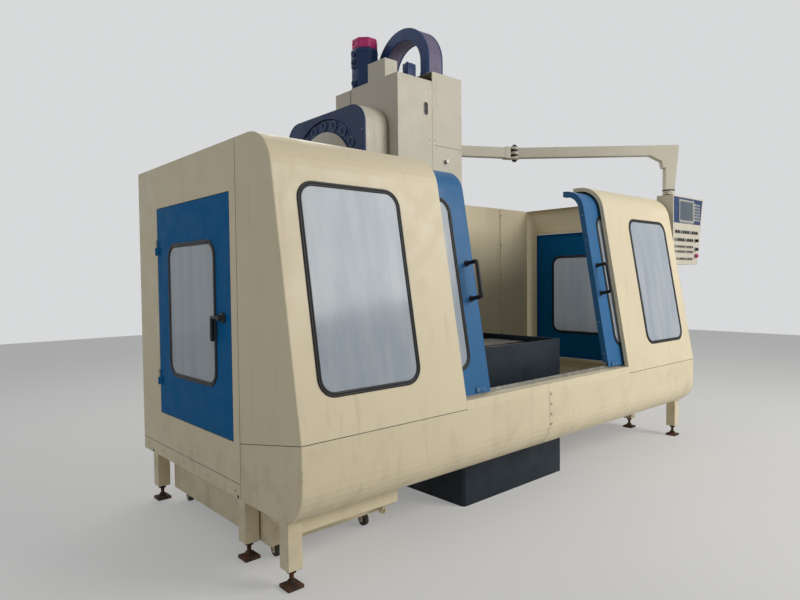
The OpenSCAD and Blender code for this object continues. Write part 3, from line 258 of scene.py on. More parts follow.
cream = sheet_paint("cream_enamel", linear(222, 210, 180), linear(120, 100, 70), linear(92, 74, 56))
machine_grey = sheet_paint("grey_cream_enamel", linear(200, 194, 178), linear(112, 100, 80),
                           linear(96, 84, 70))
door_blue = sheet_paint("mid_blue_enamel", linear(52, 106, 154), linear(40, 60, 78),
                        linear(150, 160, 165), 0.4, 0.16)
side_blue = sheet_paint("deep_blue_enamel", linear(8, 98, 154), linear(24, 44, 62),
                        linear(120, 128, 132), 0.45, 0.04)
slate = cast_paint("slate_machine_paint", linear(20, 33, 44), linear(70, 78, 84))
navy = cast_paint("navy_machine_paint", linear(22, 50, 92), linear(70, 86, 112), 0.42)
crimson = cast_paint("crimson_fan_cover", linear(182, 46, 108), linear(206, 120, 160), 0.38)
rubber = plain("black_rubber", linear(22, 23, 25), 0.42)
black_plastic = plain("black_plastic", linear(26, 27, 30), 0.38, grain=90)
wheel_rubber = plain("grey_wheel_rubber", linear(70, 68, 66), 0.7)
steel = plain("ground_steel", linear(168, 168, 164), 0.3, metallic=1.0, grain=120)
carrier_plastic = plain("carrier_plastic", linear(36, 66, 116), 0.42)
carrier_band = plain("carrier_band", linear(112, 106, 130), 0.5, grain=40, change=0.1)
pale_rim = plain("pale_pocket_rim", linear(120, 142, 166), 0.45, metallic=0.3)
panel_grey = plain("panel_grey", linear(168, 168, 158), 0.45)
key_grey = plain("soft_key_grey", linear(150, 156, 158), 0.5, grain=90)
screen_glass = plain("screen_glass", linear(70, 84, 96), 0.12, grain=20, change=0.05, relief=0.02)
rusty = rusted_plate()
glass = hazed_glass()

# Each slot's own finish on the CAD nodes, and the slot that every finish of a new piece belongs to
finishes = {"cream_paint": cream, "slate_paint": slate, "navy_paint": navy, "crimson_cap": crimson,
            "rusty_steel": rusty, "rubber": rubber, "safety_glass": glass, "ground_steel": steel,
            "carrier_plastic": carrier_plastic, "door_blue": door_blue, "side_blue": side_blue,
            "black_plastic": black_plastic, "wheel_rubber": wheel_rubber}
slots = {skin.name: slot for slot, skin in finishes.items()}
for slot, skins in (("cream_paint", (machine_grey, panel_grey, key_grey)), ("ground_steel", (pale_rim,)),
                    ("carrier_plastic", (carrier_band,)), ("safety_glass", (screen_glass,))):
    for skin in skins:
        slots[skin.name] = slot
MACHINE_NODES = ("column", "head_cover", "head_casting", "magazine_housing", "arm_link_1", "arm_link_2",
                 "pendant_case")
for subpart in frame["record"]["subparts"]:
    skins = frame["nodes"][subpart["node"]].data.materials
    skins.clear()
    skins.append(machine_grey if subpart["node"] in MACHINE_NODES else finishes[subpart["material_slot"]])


# Places: local Z points out of the surface that a form stands on
def at(x, y, z):
    return Matrix.Translation((x, y, z))


def wall_place(origin, right, up):
    """A place on a wall: local X runs right, local Y up and local Z out of the wall."""
    right, up = Vector(right), Vector(up)
    place = Matrix((right, up, right.cross(up))).transposed().to_4x4()
    place.translation = origin
    return place


def on_flank(side, x, y, z):
    """A place on an upright wall that faces left for -1 and right for 1."""
    return wall_place((x, y, z), (0, side, 0), (0, 0, 1))


def on_face(side, x, y, z):
    """A place on an upright wall that faces the front for -1 and the rear for 1."""
    return wall_place((x, y, z), (-side, 0, 0), (0, 0, 1))


def on_end_wall(side, y, z):
    return on_flank(side, LEFT if side < 0 else RIGHT, y, z)


def on_front(x, z, inward=0.0):
    """A place on the leaning front, or so far behind it."""
    return wall_place((x, FRONT + tan(SLOPE) * (z - SEAM) + inward / cos(SLOPE), z),
                      (1, 0, 0), (0, sin(SLOPE), cos(SLOPE)))


def places_round(place, count, radius=0.0, out=0.0, start=0.0):
    """Places evenly spaced round a place's local Z, at a radius and so far out."""
    return [place @ Matrix.Rotation(start + 2 * pi * i / count, 4, "Z") @ at(radius, 0, out)
            for i in range(count)]


def places_on(face, xs, ys, out=0.0):
    """Places in columns and rows on a face, or so far out of it."""
    return [face @ at(x, y, out) for x in xs for y in ys]


UPSIDE_DOWN = Matrix.Rotation(pi, 4, "X")
UP_THE_WALL = Matrix.Rotation(-pi / 2, 4, "X")


def round_edges(form, offset, segments):
    bmesh.ops.bevel(form, geom=form.edges[:], offset=offset, segments=segments, profile=0.5,
                    affect="EDGES", material=-1)


class Shape:
    def __init__(self):
        self.bm = bmesh.new()

    def take(self, form, place):
        """Puts a finished form at its place in this shape."""
        bmesh.ops.transform(form, matrix=place, verts=form.verts)
        mesh = bpy.data.meshes.new("form")
        form.to_mesh(mesh)
        form.free()
        self.bm.from_mesh(mesh)
        bpy.data.meshes.remove(mesh)

    def bar(self, place, corner, far_corner, edge=0.0, segments=2):
        """A box between two opposite corners, with its edges rounded."""
        corner, far_corner = Vector(corner), Vector(far_corner)
        size = [abs(length) for length in far_corner - corner]
        form = bmesh.new()
        bmesh.ops.create_cube(form, size=1, matrix=Matrix.Translation((corner + far_corner) / 2)
                              @ Matrix.Diagonal((*size, 1)))
        if edge:
            round_edges(form, edge, segments)
        self.take(form, place)

    def block(self, place, half_wide, half_high, low, top, edge=0.0, segments=2):
        """A box centred on its place, from a low to a top height along local Z."""
        self.bar(place, (-half_wide, -half_high, low), (half_wide, half_high, top), edge, segments)

    def turned(self, place, profile, steps=24, loop=False):
        """A form turned round local Z from (radius, height) pairs: solid to the axis, or a ring."""
        form = bmesh.new()
        if not loop:
            profile = [(0, profile[0][1])] + [point for point in profile if point[0]] + [(0, profile[-1][1])]
        line = [form.verts.new((radius, 0, height)) for radius, height in profile]
        edges = [form.edges.new(pair) for pair in zip(line, line[1:] + line[:1] * loop)]
        bmesh.ops.spin(form, geom=line + edges, axis=(0, 0, 1), cent=(0, 0, 0), dvec=(0, 0, 0),
                       angle=2 * pi, steps=steps, use_merge=True, use_duplicate=False)
        bmesh.ops.remove_doubles(form, verts=form.verts, dist=1e-6)
        self.take(form, place)

    def screw(self, place, radius=0.005, rise=0.003):
        """A cap screw's head with its hexagon socket."""
        self.turned(place, [(radius, 0), (radius, rise * 0.7), (radius * 0.8, rise),
                            (radius * 0.5, rise), (radius * 0.5, rise * 0.4)], 12)

    def screws(self, face, xs, ys, radius=0.005, rise=0.003, out=0.0):
        for place in places_on(face, xs, ys, out):
            self.screw(place, radius, rise)

    def drum(self, place, flat, low, high, edge, segments=2, sides=8):
        """An even-sided drum whose flats lie at the given distance, with its edges rounded."""
        form = bmesh.new()
        corner = flat / cos(pi / sides)
        bmesh.ops.create_cone(form, cap_ends=True, segments=sides, radius1=corner, radius2=corner,
                              depth=high - low, matrix=at(0, 0, (low + high) / 2)
                              @ Matrix.Rotation(pi / sides, 4, "Z"))
        round_edges(form, edge, segments)
        self.take(form, place)

    def hexagon(self, place, across, rise, chamfer=0.001):
        """A nut or bolt head with its six corners turned off."""
        self.drum(place, across / 2, 0, rise, chamfer, 1, sides=6)

    def ring(self, place, width, height, corner, steps, corner_steps=7):
        """A frame round a rounded rectangle: each step is an inset and a rise towards the middle."""
        form = bmesh.new()
        made = bmesh.ops.create_grid(form, x_segments=1, y_segments=1, size=1,
                                     matrix=Matrix.Diagonal((width / 2, height / 2, 1, 1)))["verts"]
        bmesh.ops.bevel(form, geom=made, offset=corner, segments=corner_steps, profile=0.5,
                        affect="VERTICES", material=-1)
        face = next(iter(form.faces))
        for inset, rise in steps:
            bmesh.ops.inset_region(form, faces=[face], thickness=inset, depth=rise,
                                   use_even_offset=True, use_boundary=True)
        bmesh.ops.delete(form, geom=[face], context="FACES_ONLY")
        self.take(form, place)

    def pipe(self, points, radius, sides=6):
        """A round bar along a smooth path, closed at its ends."""
        path = bpy.data.curves.new("path", "CURVE")
        path.dimensions = "3D"
        path.bevel_depth = radius
        path.bevel_resolution = sides
        path.use_fill_caps = True
        path.resolution_u = 6
        spline = path.splines.new("NURBS")
        spline.points.add(len(points) - 1)
        for point, spot in zip(spline.points, points):
            point.co = (*spot, 1)
        spline.order_u = 4
        spline.use_endpoint_u = True
        holder = bpy.data.objects.new("path", path)
        mesh = bpy.data.meshes.new_from_object(holder)
        self.bm.from_mesh(mesh)
        bpy.data.objects.remove(holder)
        bpy.data.curves.remove(path)
        bpy.data.meshes.remove(mesh)

    def finish(self, name, body, skin, stands_for=(), closed=True, smooth=40):
        """Turns the mesh into a piece that rides on a body of the machine, or on none yet."""
        if closed:
            bmesh.ops.recalc_face_normals(self.bm, faces=self.bm.faces)
        mesh = bpy.data.meshes.new(name)
        self.bm.to_mesh(mesh)
        self.bm.free()
        mesh.materials.append(skin)
        mesh.shade_smooth()
        mesh.set_sharp_from_angle(angle=radians(smooth))
        piece = bpy.data.objects.new(name, mesh)
        bpy.context.scene.collection.objects.link(piece)
        if body:
            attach(piece, body)
        if stands_for:
            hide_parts(*stands_for)
        return piece


# Window seals: an extruded rubber section with a filler bead, on both sides of the sheet
SEAL_WIDTH, PANE_CORNER = 0.015, 0.085
SEAL_STEPS = [(0.0006, 0.0035), (0.0014, 0.0022), (0.003, 0.0013), (0.004, 0.0), (0.003, -0.001),
              (0.0015, -0.0022), (0.0015, 0.0018), (0.003, 0.0012), (0.004, -0.0004),
              (0.003, -0.0018), (0.002, -0.0036)]
DOOR_SET = 0.050
LEFT_LEAD, RIGHT_LEAD = -0.565, 0.863
FRONT_WINDOW_XS, FRONT_WINDOW_Z, FRONT_PANE = (-1.523, 1.790), 1.465, (0.650, 1.060)
DOOR_WINDOW_IN, DOOR_WINDOW_Z, DOOR_PANE = 0.480, 1.475, (0.640, 1.050)
SIDE_WINDOW_Y, SIDE_WINDOW_Z, SIDE_PANE = FRONT + 1.193, 1.318, (0.650, 0.815)


def window_seals(name, body, node, places, pane):
    seals = Shape()
    size = [length + 2 * SEAL_WIDTH for length in pane] + [PANE_CORNER + SEAL_WIDTH]
    for place in places:
        seals.ring(place, *size, SEAL_STEPS)
        seals.ring(place @ at(0, 0, -SHEET) @ Matrix.Rotation(pi, 4, "Y"), *size, SEAL_STEPS)
    seals.finish(name, body, rubber, (node,), closed=False, smooth=60)


window_seals("front_window_seals", "root", "front_gaskets",
             [on_front(x, FRONT_WINDOW_Z) for x in FRONT_WINDOW_XS], FRONT_PANE)
window_seals("left_door_seal", "left_door", "left_door_gasket",
             [on_front(LEFT_LEAD - DOOR_WINDOW_IN, DOOR_WINDOW_Z, DOOR_SET)], DOOR_PANE)
window_seals("right_door_seal", "right_door", "right_door_gasket",
             [on_front(RIGHT_LEAD + DOOR_WINDOW_IN, DOOR_WINDOW_Z, DOOR_SET)], DOOR_PANE)
for side, name in SIDES:
    window_seals(name + "_side_door_seal", name + "_side_door", name + "_side_gasket",
                 [on_end_wall(side, SIDE_WINDOW_Y, SIDE_WINDOW_Z)], SIDE_PANE)

# Dark strips in the open seams between the sheets: painted shade of the gaps
SKIRT, RAIL_TOP = 0.326, 0.410
LEFT_INNER, RIGHT_INNER = LEFT + 1.143, RIGHT - 1.197
CAP_Y, CAP_DROP = FRONT + 0.600, 0.103
SEAM_SHADE_WIDE, SEAM_SHADE_DEEP, SEAM_SHADE_PROUD = 0.0032, 0.002, 0.0006


def seam_line(shape, start, end, out):
    """A thin dark strip from start to end, a hair proud of the sheets that it parts: painted shade of the
    open seam.
    """
    start, end = Vector(start), Vector(end)
    run = end - start
    place = wall_place(start, run.normalized(), Vector(out).cross(run).normalized())
    shape.bar(place, (0, -SEAM_SHADE_WIDE / 2, -SEAM_SHADE_DEEP), (run.length, SEAM_SHADE_WIDE / 2, SEAM_SHADE_PROUD),
              SEAM_SHADE_PROUD / 2, 1)


# Painted shade: dark strips over the seams of the front and the end walls
seam_shades = Shape()
for x0, x1 in ((LEFT + 0.004, LEFT_INNER), (RIGHT_INNER, RIGHT - 0.004)):
    seam_line(seam_shades, (x0, FRONT, SEAM + HALF_GAP), (x1, FRONT, SEAM + HALF_GAP), (0, -1, 0))
for x, out in ((LEFT, (-1, 0, 0)), (RIGHT, (1, 0, 0))):
    seam_line(seam_shades, (x, FRONT + 0.002, SEAM), (x, CAP_Y, SEAM - CAP_DROP), out)
    seam_line(seam_shades, (x, CAP_Y - HALF_GAP, SKIRT + 0.004), (x, CAP_Y - HALF_GAP, ROOF - 0.004), out)
    seam_line(seam_shades, (x, CAP_Y, RAIL_TOP + HALF_GAP), (x, REAR - 0.002, RAIL_TOP + HALF_GAP), out)
seam_shades.finish("painted_seam_shades", "root", rubber)

# Cap screws down the apron's joint
JOINT_X, JOINT_SCREW_X, JOINT_PITCH = -0.020, 0.0148, 0.068
joint_screws = Shape()
joint_screws.screws(on_face(-1, 0, FRONT, 0), [JOINT_X + JOINT_SCREW_X],
                    [SEAM - 0.020 - JOINT_PITCH * i for i in range(4)], 0.0075, 0.0034, out=0.0028)
joint_screws.finish("apron_joint_screws", "root", steel)

# Levelling feet: machined plate, stud with its thread, jam nut, washer and swivel nut
LEG_YS = [FRONT + TUBE / 2 + back for back in (0.133, 0.563, 1.810)]
LEG_XS = (LEFT + SHEET + TUBE / 2, RIGHT - SHEET - TUBE / 2)
LEG_LOW, PLATE_TOP, THREAD_PITCH = 0.097, 0.022, 0.004
thread = [(0.010, PLATE_TOP - 0.001)]
for turn in range(19):
    z = PLATE_TOP + THREAD_PITCH * turn
    thread += [(0.0104, z), (0.012, z + 0.001), (0.012, z + 0.002), (0.0104, z + 0.003)]
thread.append((0.010, LEG_LOW + 0.003))
feet = Shape()
for foot in places_on(Matrix(), LEG_XS, LEG_YS):
    feet.block(foot, 0.045, 0.045, 0, PLATE_TOP - 0.004, 0.003)
    feet.turned(foot @ at(0, 0, PLATE_TOP - 0.005), [(0.030, 0), (0.030, 0.003), (0.024, 0.006)])
    feet.turned(foot, thread, 20)
    feet.hexagon(foot @ at(0, 0, PLATE_TOP), 0.0395, 0.016, 0.002)
    feet.turned(foot @ at(0, 0, LEG_LOW - 0.0205), [(0.023, 0), (0.023, 0.0025)])
    feet.hexagon(foot @ at(0, 0, LEG_LOW - 0.018), 0.0353, 0.018, 0.002)
feet.finish("levelling_feet_machined", "root", rusty, ("levelling_feet",))

# Pull handles of the sliding doors: a bent round bar on two flanged feet
HANDLE_Z, HANDLE_LONG, HANDLE_OUT, HANDLE_BAR, HANDLE_IN = 1.485, 0.250, 0.100, 0.013, 0.062
half, far = HANDLE_LONG / 2 - HANDLE_BAR, HANDLE_OUT - HANDLE_BAR
half_bow = [(0, -half, 0.002), (0, -half, far - 0.045), (0, -half, far - 0.012), (0, -half + 0.003, far),
            (0, -half + 0.030, far)]
bow = half_bow + [(0, 0, far)] + [(x, -y, z) for x, y, z in reversed(half_bow)]
for door, x in (("left_door", LEFT_LEAD - HANDLE_IN), ("right_door", RIGHT_LEAD + HANDLE_IN)):
    place = on_front(x, HANDLE_Z, DOOR_SET)
    grip = Shape()
    grip.pipe([place @ Vector(point) for point in bow], HANDLE_BAR)
    for end in (-half, half):
        grip.turned(place @ at(0, end, 0.0005),
                    [(0.0205, 0), (0.0205, 0.004), (0.018, 0.006), (0.0145, 0.007),
                     (0.0145, 0.016), (0.0135, 0.018)])
    grip.finish(door + "_pull_handle", door, black_plastic, (door + "_handle",))

# Latches of the side doors: rose, boss, lever arm to the rear, hanging ribbed grip and inner tongue
LOCK_Y, LOCK_Z = FRONT + 0.767, 1.300
DOOR_THICK = 0.025
TONGUE_OUT = -DOOR_THICK - 0.008
for side, name in SIDES:
    place = on_end_wall(side, LOCK_Y, LOCK_Z)
    latch = Shape()
    latch.turned(place, [(0.0135, TONGUE_OUT), (0.0135, 0.0003), (0.030, 0.0003),
                         (0.030, 0.006), (0.026, 0.011), (0.018, 0.012), (0.0165, 0.014),
                         (0.0165, 0.034), (0.014, 0.038), (0.006, 0.038), (0.005, 0.0355)], 32)
    latch.bar(place, (-0.006 * side, -0.009, 0.019), (0.095 * side, 0.009, 0.037), 0.005, 3)
    latch.bar(place, (0.072 * side, -0.135, 0.0165), (0.095 * side, 0.006, 0.0395), 0.008, 4)
    for y in [-0.112 + 0.016 * rib for rib in range(5)]:
        latch.bar(place, (0.0712 * side, y, 0.0157), (0.0958 * side, y + 0.007, 0.0403), 0.0035)
    latch.bar(place, (-0.009 * side, -0.014, TONGUE_OUT), (0.060 * side, 0.014, TONGUE_OUT + 0.004), 0.001, 1)
    latch.finish(name + "_latch_lever", name + "_latch", black_plastic, (name + "_latch",))

# Hinges of the side doors: leaves with cap screws and turned pin ends
HINGE_Y, HINGE_OUT = FRONT + 0.677 + 1.040 + 0.002, 0.008
HINGE_ZS, HINGE_HIGH = (0.632 + 0.190, 1.980 - 0.300), 0.090
for side, name in SIDES:
    door_leaves, wall_leaves = Shape(), Shape()
    for place in [on_end_wall(side, HINGE_Y, z) for z in HINGE_ZS]:
        for leaf, low, way in ((door_leaves, 0.0, -side), (wall_leaves, HINGE_HIGH / 2, side)):
            leaf.bar(place, (0.006 * way, low + 0.0005, 0.0003), (0.058 * way, low + 0.0445, 0.0032), 0.0012)
            leaf.screws(place, [0.044 * way], (low + 0.010, low + 0.034), 0.0042, 0.0018, out=0.0028)
        pin = place @ at(0, 0, HINGE_OUT) @ UP_THE_WALL
        wall_leaves.turned(pin @ at(0, 0, HINGE_HIGH),
                           [(0.0086, -0.0005), (0.0086, 0.002), (0.006, 0.005), (0, 0.006)])
        door_leaves.turned(pin @ at(0, 0, -0.0055),
                           [(0, 0), (0.006, 0.001), (0.0086, 0.0035), (0.0086, 0.0058)])
    door_leaves.finish(name + "_door_hinge_leaves", name + "_side_door", side_blue)
    wall_leaves.finish(name + "_wall_hinge_leaves", "root", cream)

# Head cover: junction box on its roof, with two cable sockets
HEAD_FRONT, HEAD_HALF, HEAD_LOW, HEAD_TOP, HEAD_STEP = -0.230, 0.360, 1.950, 3.090, 0.080
COVER_REAR, HATCH_Z, HATCH_LEFT, WIPER_IN = 0.353, 2.583, 0.022, 0.3305
head_face = on_face(-1, 0, HEAD_FRONT, 0)
slot_place = head_face @ at(-0.059, 2.861, 0)
box_place = at(-0.116, -0.100, HEAD_TOP)
junction_box = Shape()
junction_box.block(box_place, 0.0455, 0.0325, 0.0003, 0.1425, 0.006, 3)
junction_box.block(box_place, 0.0475, 0.0345, 0.104, 0.108, 0.0015)
for x in (-0.022, 0.022):
    junction_box.turned(box_place @ at(x, 0, 0.141),
                        [(0.013, 0), (0.013, 0.006), (0.010, 0.008), (0.010, 0.014)])
junction_box.finish("junction_box_shell", "head", navy)

# Head cover: a dark strip of painted shade in the hatch joint, black wipers against the column that also
# paint the shadow gap there, and a dark block behind the lifting slot that paints the shade inside it
# Painted shade: a dark strip along the hatch joint
hatch_joint = Shape()
seam_line(hatch_joint, (HATCH_LEFT, HEAD_FRONT, HATCH_Z + HALF_GAP),
          (HEAD_HALF - 0.001, HEAD_FRONT, HATCH_Z + HALF_GAP), (0, -1, 0))
hatch_joint.finish("hatch_joint_painted_shade", "head", rubber)

# Black wiper strips, which also paint the shadow gap between the cover and the column
wiper = Shape()
for x0, x1, top in ((-HEAD_HALF, -WIPER_IN, HEAD_TOP), (WIPER_IN, HEAD_HALF, HEAD_TOP + HEAD_STEP)):
    wiper.bar(Matrix(), (x0 + 0.001, COVER_REAR - 0.001, HEAD_LOW + 0.002),
              (x1, COVER_REAR + 0.014, top - 0.002), 0.003)
# Painted shade: a dark block behind the lifting slot, for the shade inside it
wiper.block(slot_place, 0.021, 0.051, -0.0075, -0.0045, 0.001, 1)
wiper.finish("head_wiper_gap_and_slot_painted_shade", "head", rubber)

# Head cover: hatch knob, cover screws and the lifting slot's rim
cover_screw = (0.0055, 0.0035)
fittings = Shape()
fittings.turned(head_face @ at(0.167, HATCH_Z - 0.117, 0.0003),
                [(0.020, 0), (0.020, 0.003), (0.0145, 0.004), (0.0145, 0.0165), (0.0185, 0.0185),
                 (0.0185, 0.024), (0.016, 0.0265), (0.008, 0.0265), (0.007, 0.0245)], 32)
fittings.screws(head_face, (0.060, 0.335), (HEAD_LOW + 0.030, HATCH_Z - 0.025), *cover_screw)
fittings.screws(head_face, (-0.340, -0.020), (HEAD_LOW + 0.060, HATCH_Z + 0.040, HEAD_TOP - 0.060),
                *cover_screw)
fittings.screws(head_face, (0.040, 0.340), (HATCH_Z + 0.040, HEAD_TOP - 0.230, HEAD_TOP - 0.060),
                *cover_screw)
for side in (-1, 1):
    fittings.screws(on_flank(side, side * HEAD_HALF, 0, 0),
                    [side * y for y in (HEAD_FRONT + 0.030, COVER_REAR - 0.030)],
                    (HEAD_LOW + 0.040, 2.30, 2.66, HEAD_TOP - 0.050), *cover_screw)
fittings.finish("head_cover_fasteners", "head", steel)

slot_rim = Shape()
slot_rim.ring(slot_place @ at(0, 0, 0.0002), 0.052, 0.112, 0.0255,
              [(0.0005, 0.0018), (0.001, 0.0007), (0.003, 0.0), (0.0008, -0.0007), (0.0006, -0.005)], 8)
slot_rim.finish("lifting_slot_rim", "head", machine_grey, closed=False)

# Spindle nose: clamp ring with cap screws, under the head casting
NOSE_Z, NOSE_SCREW_R = HEAD_LOW - 0.090, 0.082
nose = Shape()
nose.turned(at(0, 0, NOSE_Z - 0.0005), [(0.071, 0), (0.093, 0), (0.093, -0.006), (0.089, -0.010),
                                        (0.075, -0.010), (0.071, -0.007)], 48, loop=True)
for place in places_round(at(0, 0, NOSE_Z - 0.0105), 8, NOSE_SCREW_R):
    nose.screw(place @ UPSIDE_DOWN, 0.0065, 0.006)
nose.finish("spindle_nose_ring", "head", steel)

# Spindle motor: eight-sided housing with flange bolts, cable sockets, terminal box and fan cover
COLUMN_TOP = 3.100
MOTOR_X, MOTOR_Y, MOTOR_R, MOTOR_H = -0.105, 0.480, 0.112, 0.400
FAN_HIGH, FAN_SCREW_R = 0.088, 0.088
motor_foot = at(MOTOR_X, MOTOR_Y, COLUMN_TOP)
motor = Shape()
motor.block(motor_foot, 0.118, 0.118, 0, 0.024, 0.004)
motor.drum(motor_foot, MOTOR_R, 0.022, 0.352, 0.010, 3)
motor.drum(motor_foot, MOTOR_R - 0.005, 0.350, 0.366, 0.002, 1)
motor.drum(motor_foot, MOTOR_R, 0.364, MOTOR_H, 0.006, 2)
motor.bar(motor_foot, (-MOTOR_R - 0.012, -0.040, 0.232), (-MOTOR_R + 0.004, 0.040, 0.392), 0.005, 3)
motor.bar(motor_foot, (-MOTOR_R - 0.014, -0.030, 0.306), (-MOTOR_R - 0.010, 0.030, 0.318), 0.0015, 1)
for up in (0.100, 0.280, 0.350):
    motor.turned(on_flank(-1, MOTOR_X - MOTOR_R, MOTOR_Y, COLUMN_TOP + up),
                 [(0.028, 0), (0.028, 0.006), (0.022, 0.008), (0.022, 0.014), (0.0245, 0.015),
                  (0.0245, 0.024), (0.0215, 0.026), (0.0165, 0.026), (0.0155, 0.021)], 32)
for place in places_on(motor_foot, (-0.102, 0.102), (-0.102, 0.102), 0.0235):
    motor.hexagon(place, 0.019, 0.0125)
motor.finish("spindle_motor_housing", "root", navy, ("z_motor",))

fan_cover = Shape()
fan_cover.drum(motor_foot, MOTOR_R - 0.004, MOTOR_H, MOTOR_H + FAN_HIGH, 0.009, 3)
bmesh.ops.recalc_face_normals(fan_cover.bm, faces=fan_cover.bm.faces)
lid = max(fan_cover.bm.faces, key=lambda face: face.calc_center_median().z)
flats = [face for face in fan_cover.bm.faces if abs(face.normal.z) < 0.05 and face.calc_area() > 0.003]
for face in [lid] + flats:
    bmesh.ops.inset_region(fan_cover.bm, faces=[face], thickness=0.016, depth=0.0)
    bmesh.ops.inset_region(fan_cover.bm, faces=[face], thickness=0.003, depth=-0.003)
for place in places_round(motor_foot, 4, FAN_SCREW_R, MOTOR_H + FAN_HIGH - 0.0005, start=pi / 4):
    fan_cover.screw(place, 0.0055, 0.0032)
fan_cover.finish("motor_fan_cover", "root", crimson, ("z_motor_cap",), closed=False)

# Cable carrier: arch of smooth side plates, ribbed bands and feet, from the head to the column
CARRIER_X, CARRIER_WIDE, CARRIER_R, CARRIER_THICK = 0.022, 0.166, 0.330, 0.100
CARRIER_RISE, CARRIER_DROP, PLATE = 0.120, 0.190, 0.012
CARRIER_Y = HEAD_FRONT + 0.045 + CARRIER_R
CARRIER_LOW = HEAD_TOP + HEAD_STEP + 0.0003
CARRIER_MID = CARRIER_X + CARRIER_WIDE / 2
ARCH_Z = CARRIER_LOW + CARRIER_RISE
HALF = CARRIER_THICK / 2


def arch_path():
    """Stations along the carrier's middle line, as (y, z, direction) from the head to the column."""
    mid = CARRIER_R - HALF
    path = [(CARRIER_Y - mid, CARRIER_LOW + CARRIER_RISE * i / 4, pi / 2) for i in range(4)]
    path += [(CARRIER_Y - mid * cos(a), ARCH_Z + mid * sin(a), pi / 2 - a)
             for a in [pi * i / 48 for i in range(49)]]
    path += [(CARRIER_Y + mid, ARCH_Z - CARRIER_DROP * i / 5, -pi / 2) for i in range(1, 6)]
    return path


def swept(section, path, x):
    """A closed section in (across X, outwards) pairs, carried along the arch and capped."""
    form = bmesh.new()
    rings = []
    for y, z, heading in path:
        out_y, out_z = -sin(heading), cos(heading)
        rings.append([form.verts.new((x + u, y + out_y * v, z + out_z * v)) for u, v in section])
    for first, second in zip(rings, rings[1:]):
        loops = [[form.edges.get(pair) or form.edges.new(pair) for pair in zip(ring, ring[1:] + ring[:1])]
                 for ring in (first, second)]
        bmesh.ops.bridge_loops(form, edges=loops[0] + loops[1])
    for ring in (rings[0], rings[-1]):
        form.faces.new(ring)
    return form


side_section = [(0, -HALF + 0.003), (0.003, -HALF), (PLATE - 0.003, -HALF), (PLATE, -HALF + 0.003),
                (PLATE, HALF - 0.003), (PLATE - 0.003, HALF), (0.003, HALF), (0, HALF - 0.003)]
BAND_WIDE = CARRIER_WIDE - 2 * PLATE
band_section = [(0, HALF - 0.008), (BAND_WIDE, HALF - 0.008), (BAND_WIDE, HALF - 0.004), (0, HALF - 0.004)]
liner_section = [(u, v - 2 * HALF + 0.012) for u, v in band_section]
carrier_path = arch_path()
carrier_sides, carrier_bands = Shape(), Shape()
for x in (CARRIER_X, CARRIER_X + CARRIER_WIDE - PLATE):
    carrier_sides.take(swept(side_section, carrier_path, x), Matrix())
for section in (band_section, liner_section):
    carrier_bands.take(swept(section, carrier_path, CARRIER_X + PLATE), Matrix())
rib_reach, rivet_out = CARRIER_WIDE / 2 - PLATE - 0.001, CARRIER_WIDE / 2 - 0.0005
for count, (y, z, heading) in enumerate(carrier_path):
    station = at(CARRIER_MID, y, z) @ Matrix.Rotation(heading, 4, "X")
    for v in (HALF - 0.0045, -HALF + 0.0025):
        carrier_bands.block(station, rib_reach, 0.0055, v, v + 0.002, 0.0008, 1)
    if count % 3 == 1:
        for side in (-1, 1):
            rivet = station @ at(side * rivet_out, 0, 0) @ Matrix.Rotation(side * pi / 2, 4, "Y")
            carrier_sides.turned(rivet, [(0.010, 0), (0.009, 0.0016), (0.004, 0.002)], 16)
for y, z, low in ((carrier_path[0][0], CARRIER_LOW, 0), (carrier_path[-1][0], COLUMN_TOP, 0.0003)):
    for x in (CARRIER_X - 0.014, CARRIER_X + CARRIER_WIDE - 0.004):
        carrier_sides.bar(at(x, y, z), (0, -0.040, low), (0.018, 0.040, 0.022), 0.003)
        carrier_sides.hexagon(at(x + 0.009, y, z + 0.0218), 0.012, 0.007)
for shape, name, skin in ((carrier_sides, "cable_carrier_sides", carrier_plastic),
                          (carrier_bands, "cable_carrier_bands", carrier_band)):
    piece = shape.finish(name, None, skin, ("cable_carrier",))
    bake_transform(piece)

# Tool magazine: pocket rims, tool pots with their drive keys, hub plate and shell screws
MAG_X, MAG_Y, MAG_Z, MAG_HALF = -0.600, 0.423, 2.310, 0.545
POCKETS, POCKET_RING, HUB_R = 20, 0.450, 0.395


def on_magazine(radius, turn, out):
    """A place on the disc's left face, at a radius and a turn about the magazine's axis."""
    return on_flank(-1, MAG_X - out, MAG_Y + radius * cos(turn), MAG_Z + radius * sin(turn))


rims, pots = Shape(), Shape()
for turn in [2 * pi * pocket / POCKETS for pocket in range(POCKETS)]:
    place = on_magazine(POCKET_RING, turn, -0.006)
    rims.turned(place, [(0.0338, -0.004), (0.0338, 0.002), (0.0346, 0.003), (0.0372, 0.003),
                        (0.038, 0.002), (0.038, 0.0002), (0.036, 0.0002), (0.036, -0.004)],
                32, loop=True)
    pots.turned(place, [(0.0325, -0.036), (0.0325, -0.003), (0.030, -0.0015),
                        (0.0145, -0.0015), (0.013, -0.005)], 32)
    for key in (-0.0245, 0.0245):
        pots.bar(place, (key - 0.003, -0.006, -0.004), (key + 0.003, 0.006, 0.0005), 0.001, 1)
    pots.screw(on_magazine(POCKET_RING + 0.010, turn + pi / POCKETS, -0.012), 0.0045, 0.003)
rims.finish("pocket_rims", "magazine_disc", pale_rim)
pots.finish("tool_pots", "magazine_disc", navy)

hub = Shape()
hub.turned(on_magazine(0, 0, 0.006),
           [(0, 0), (HUB_R, -0.0005), (HUB_R + 0.0004, 0.0006), (HUB_R - 0.003, 0.002), (0.130, 0.003),
            (0.126, 0.007), (0.052, 0.009), (0.048, 0.013), (0.020, 0.014), (0.018, 0.010)], 96)
hub.finish("magazine_hub_plate", "root", machine_grey)

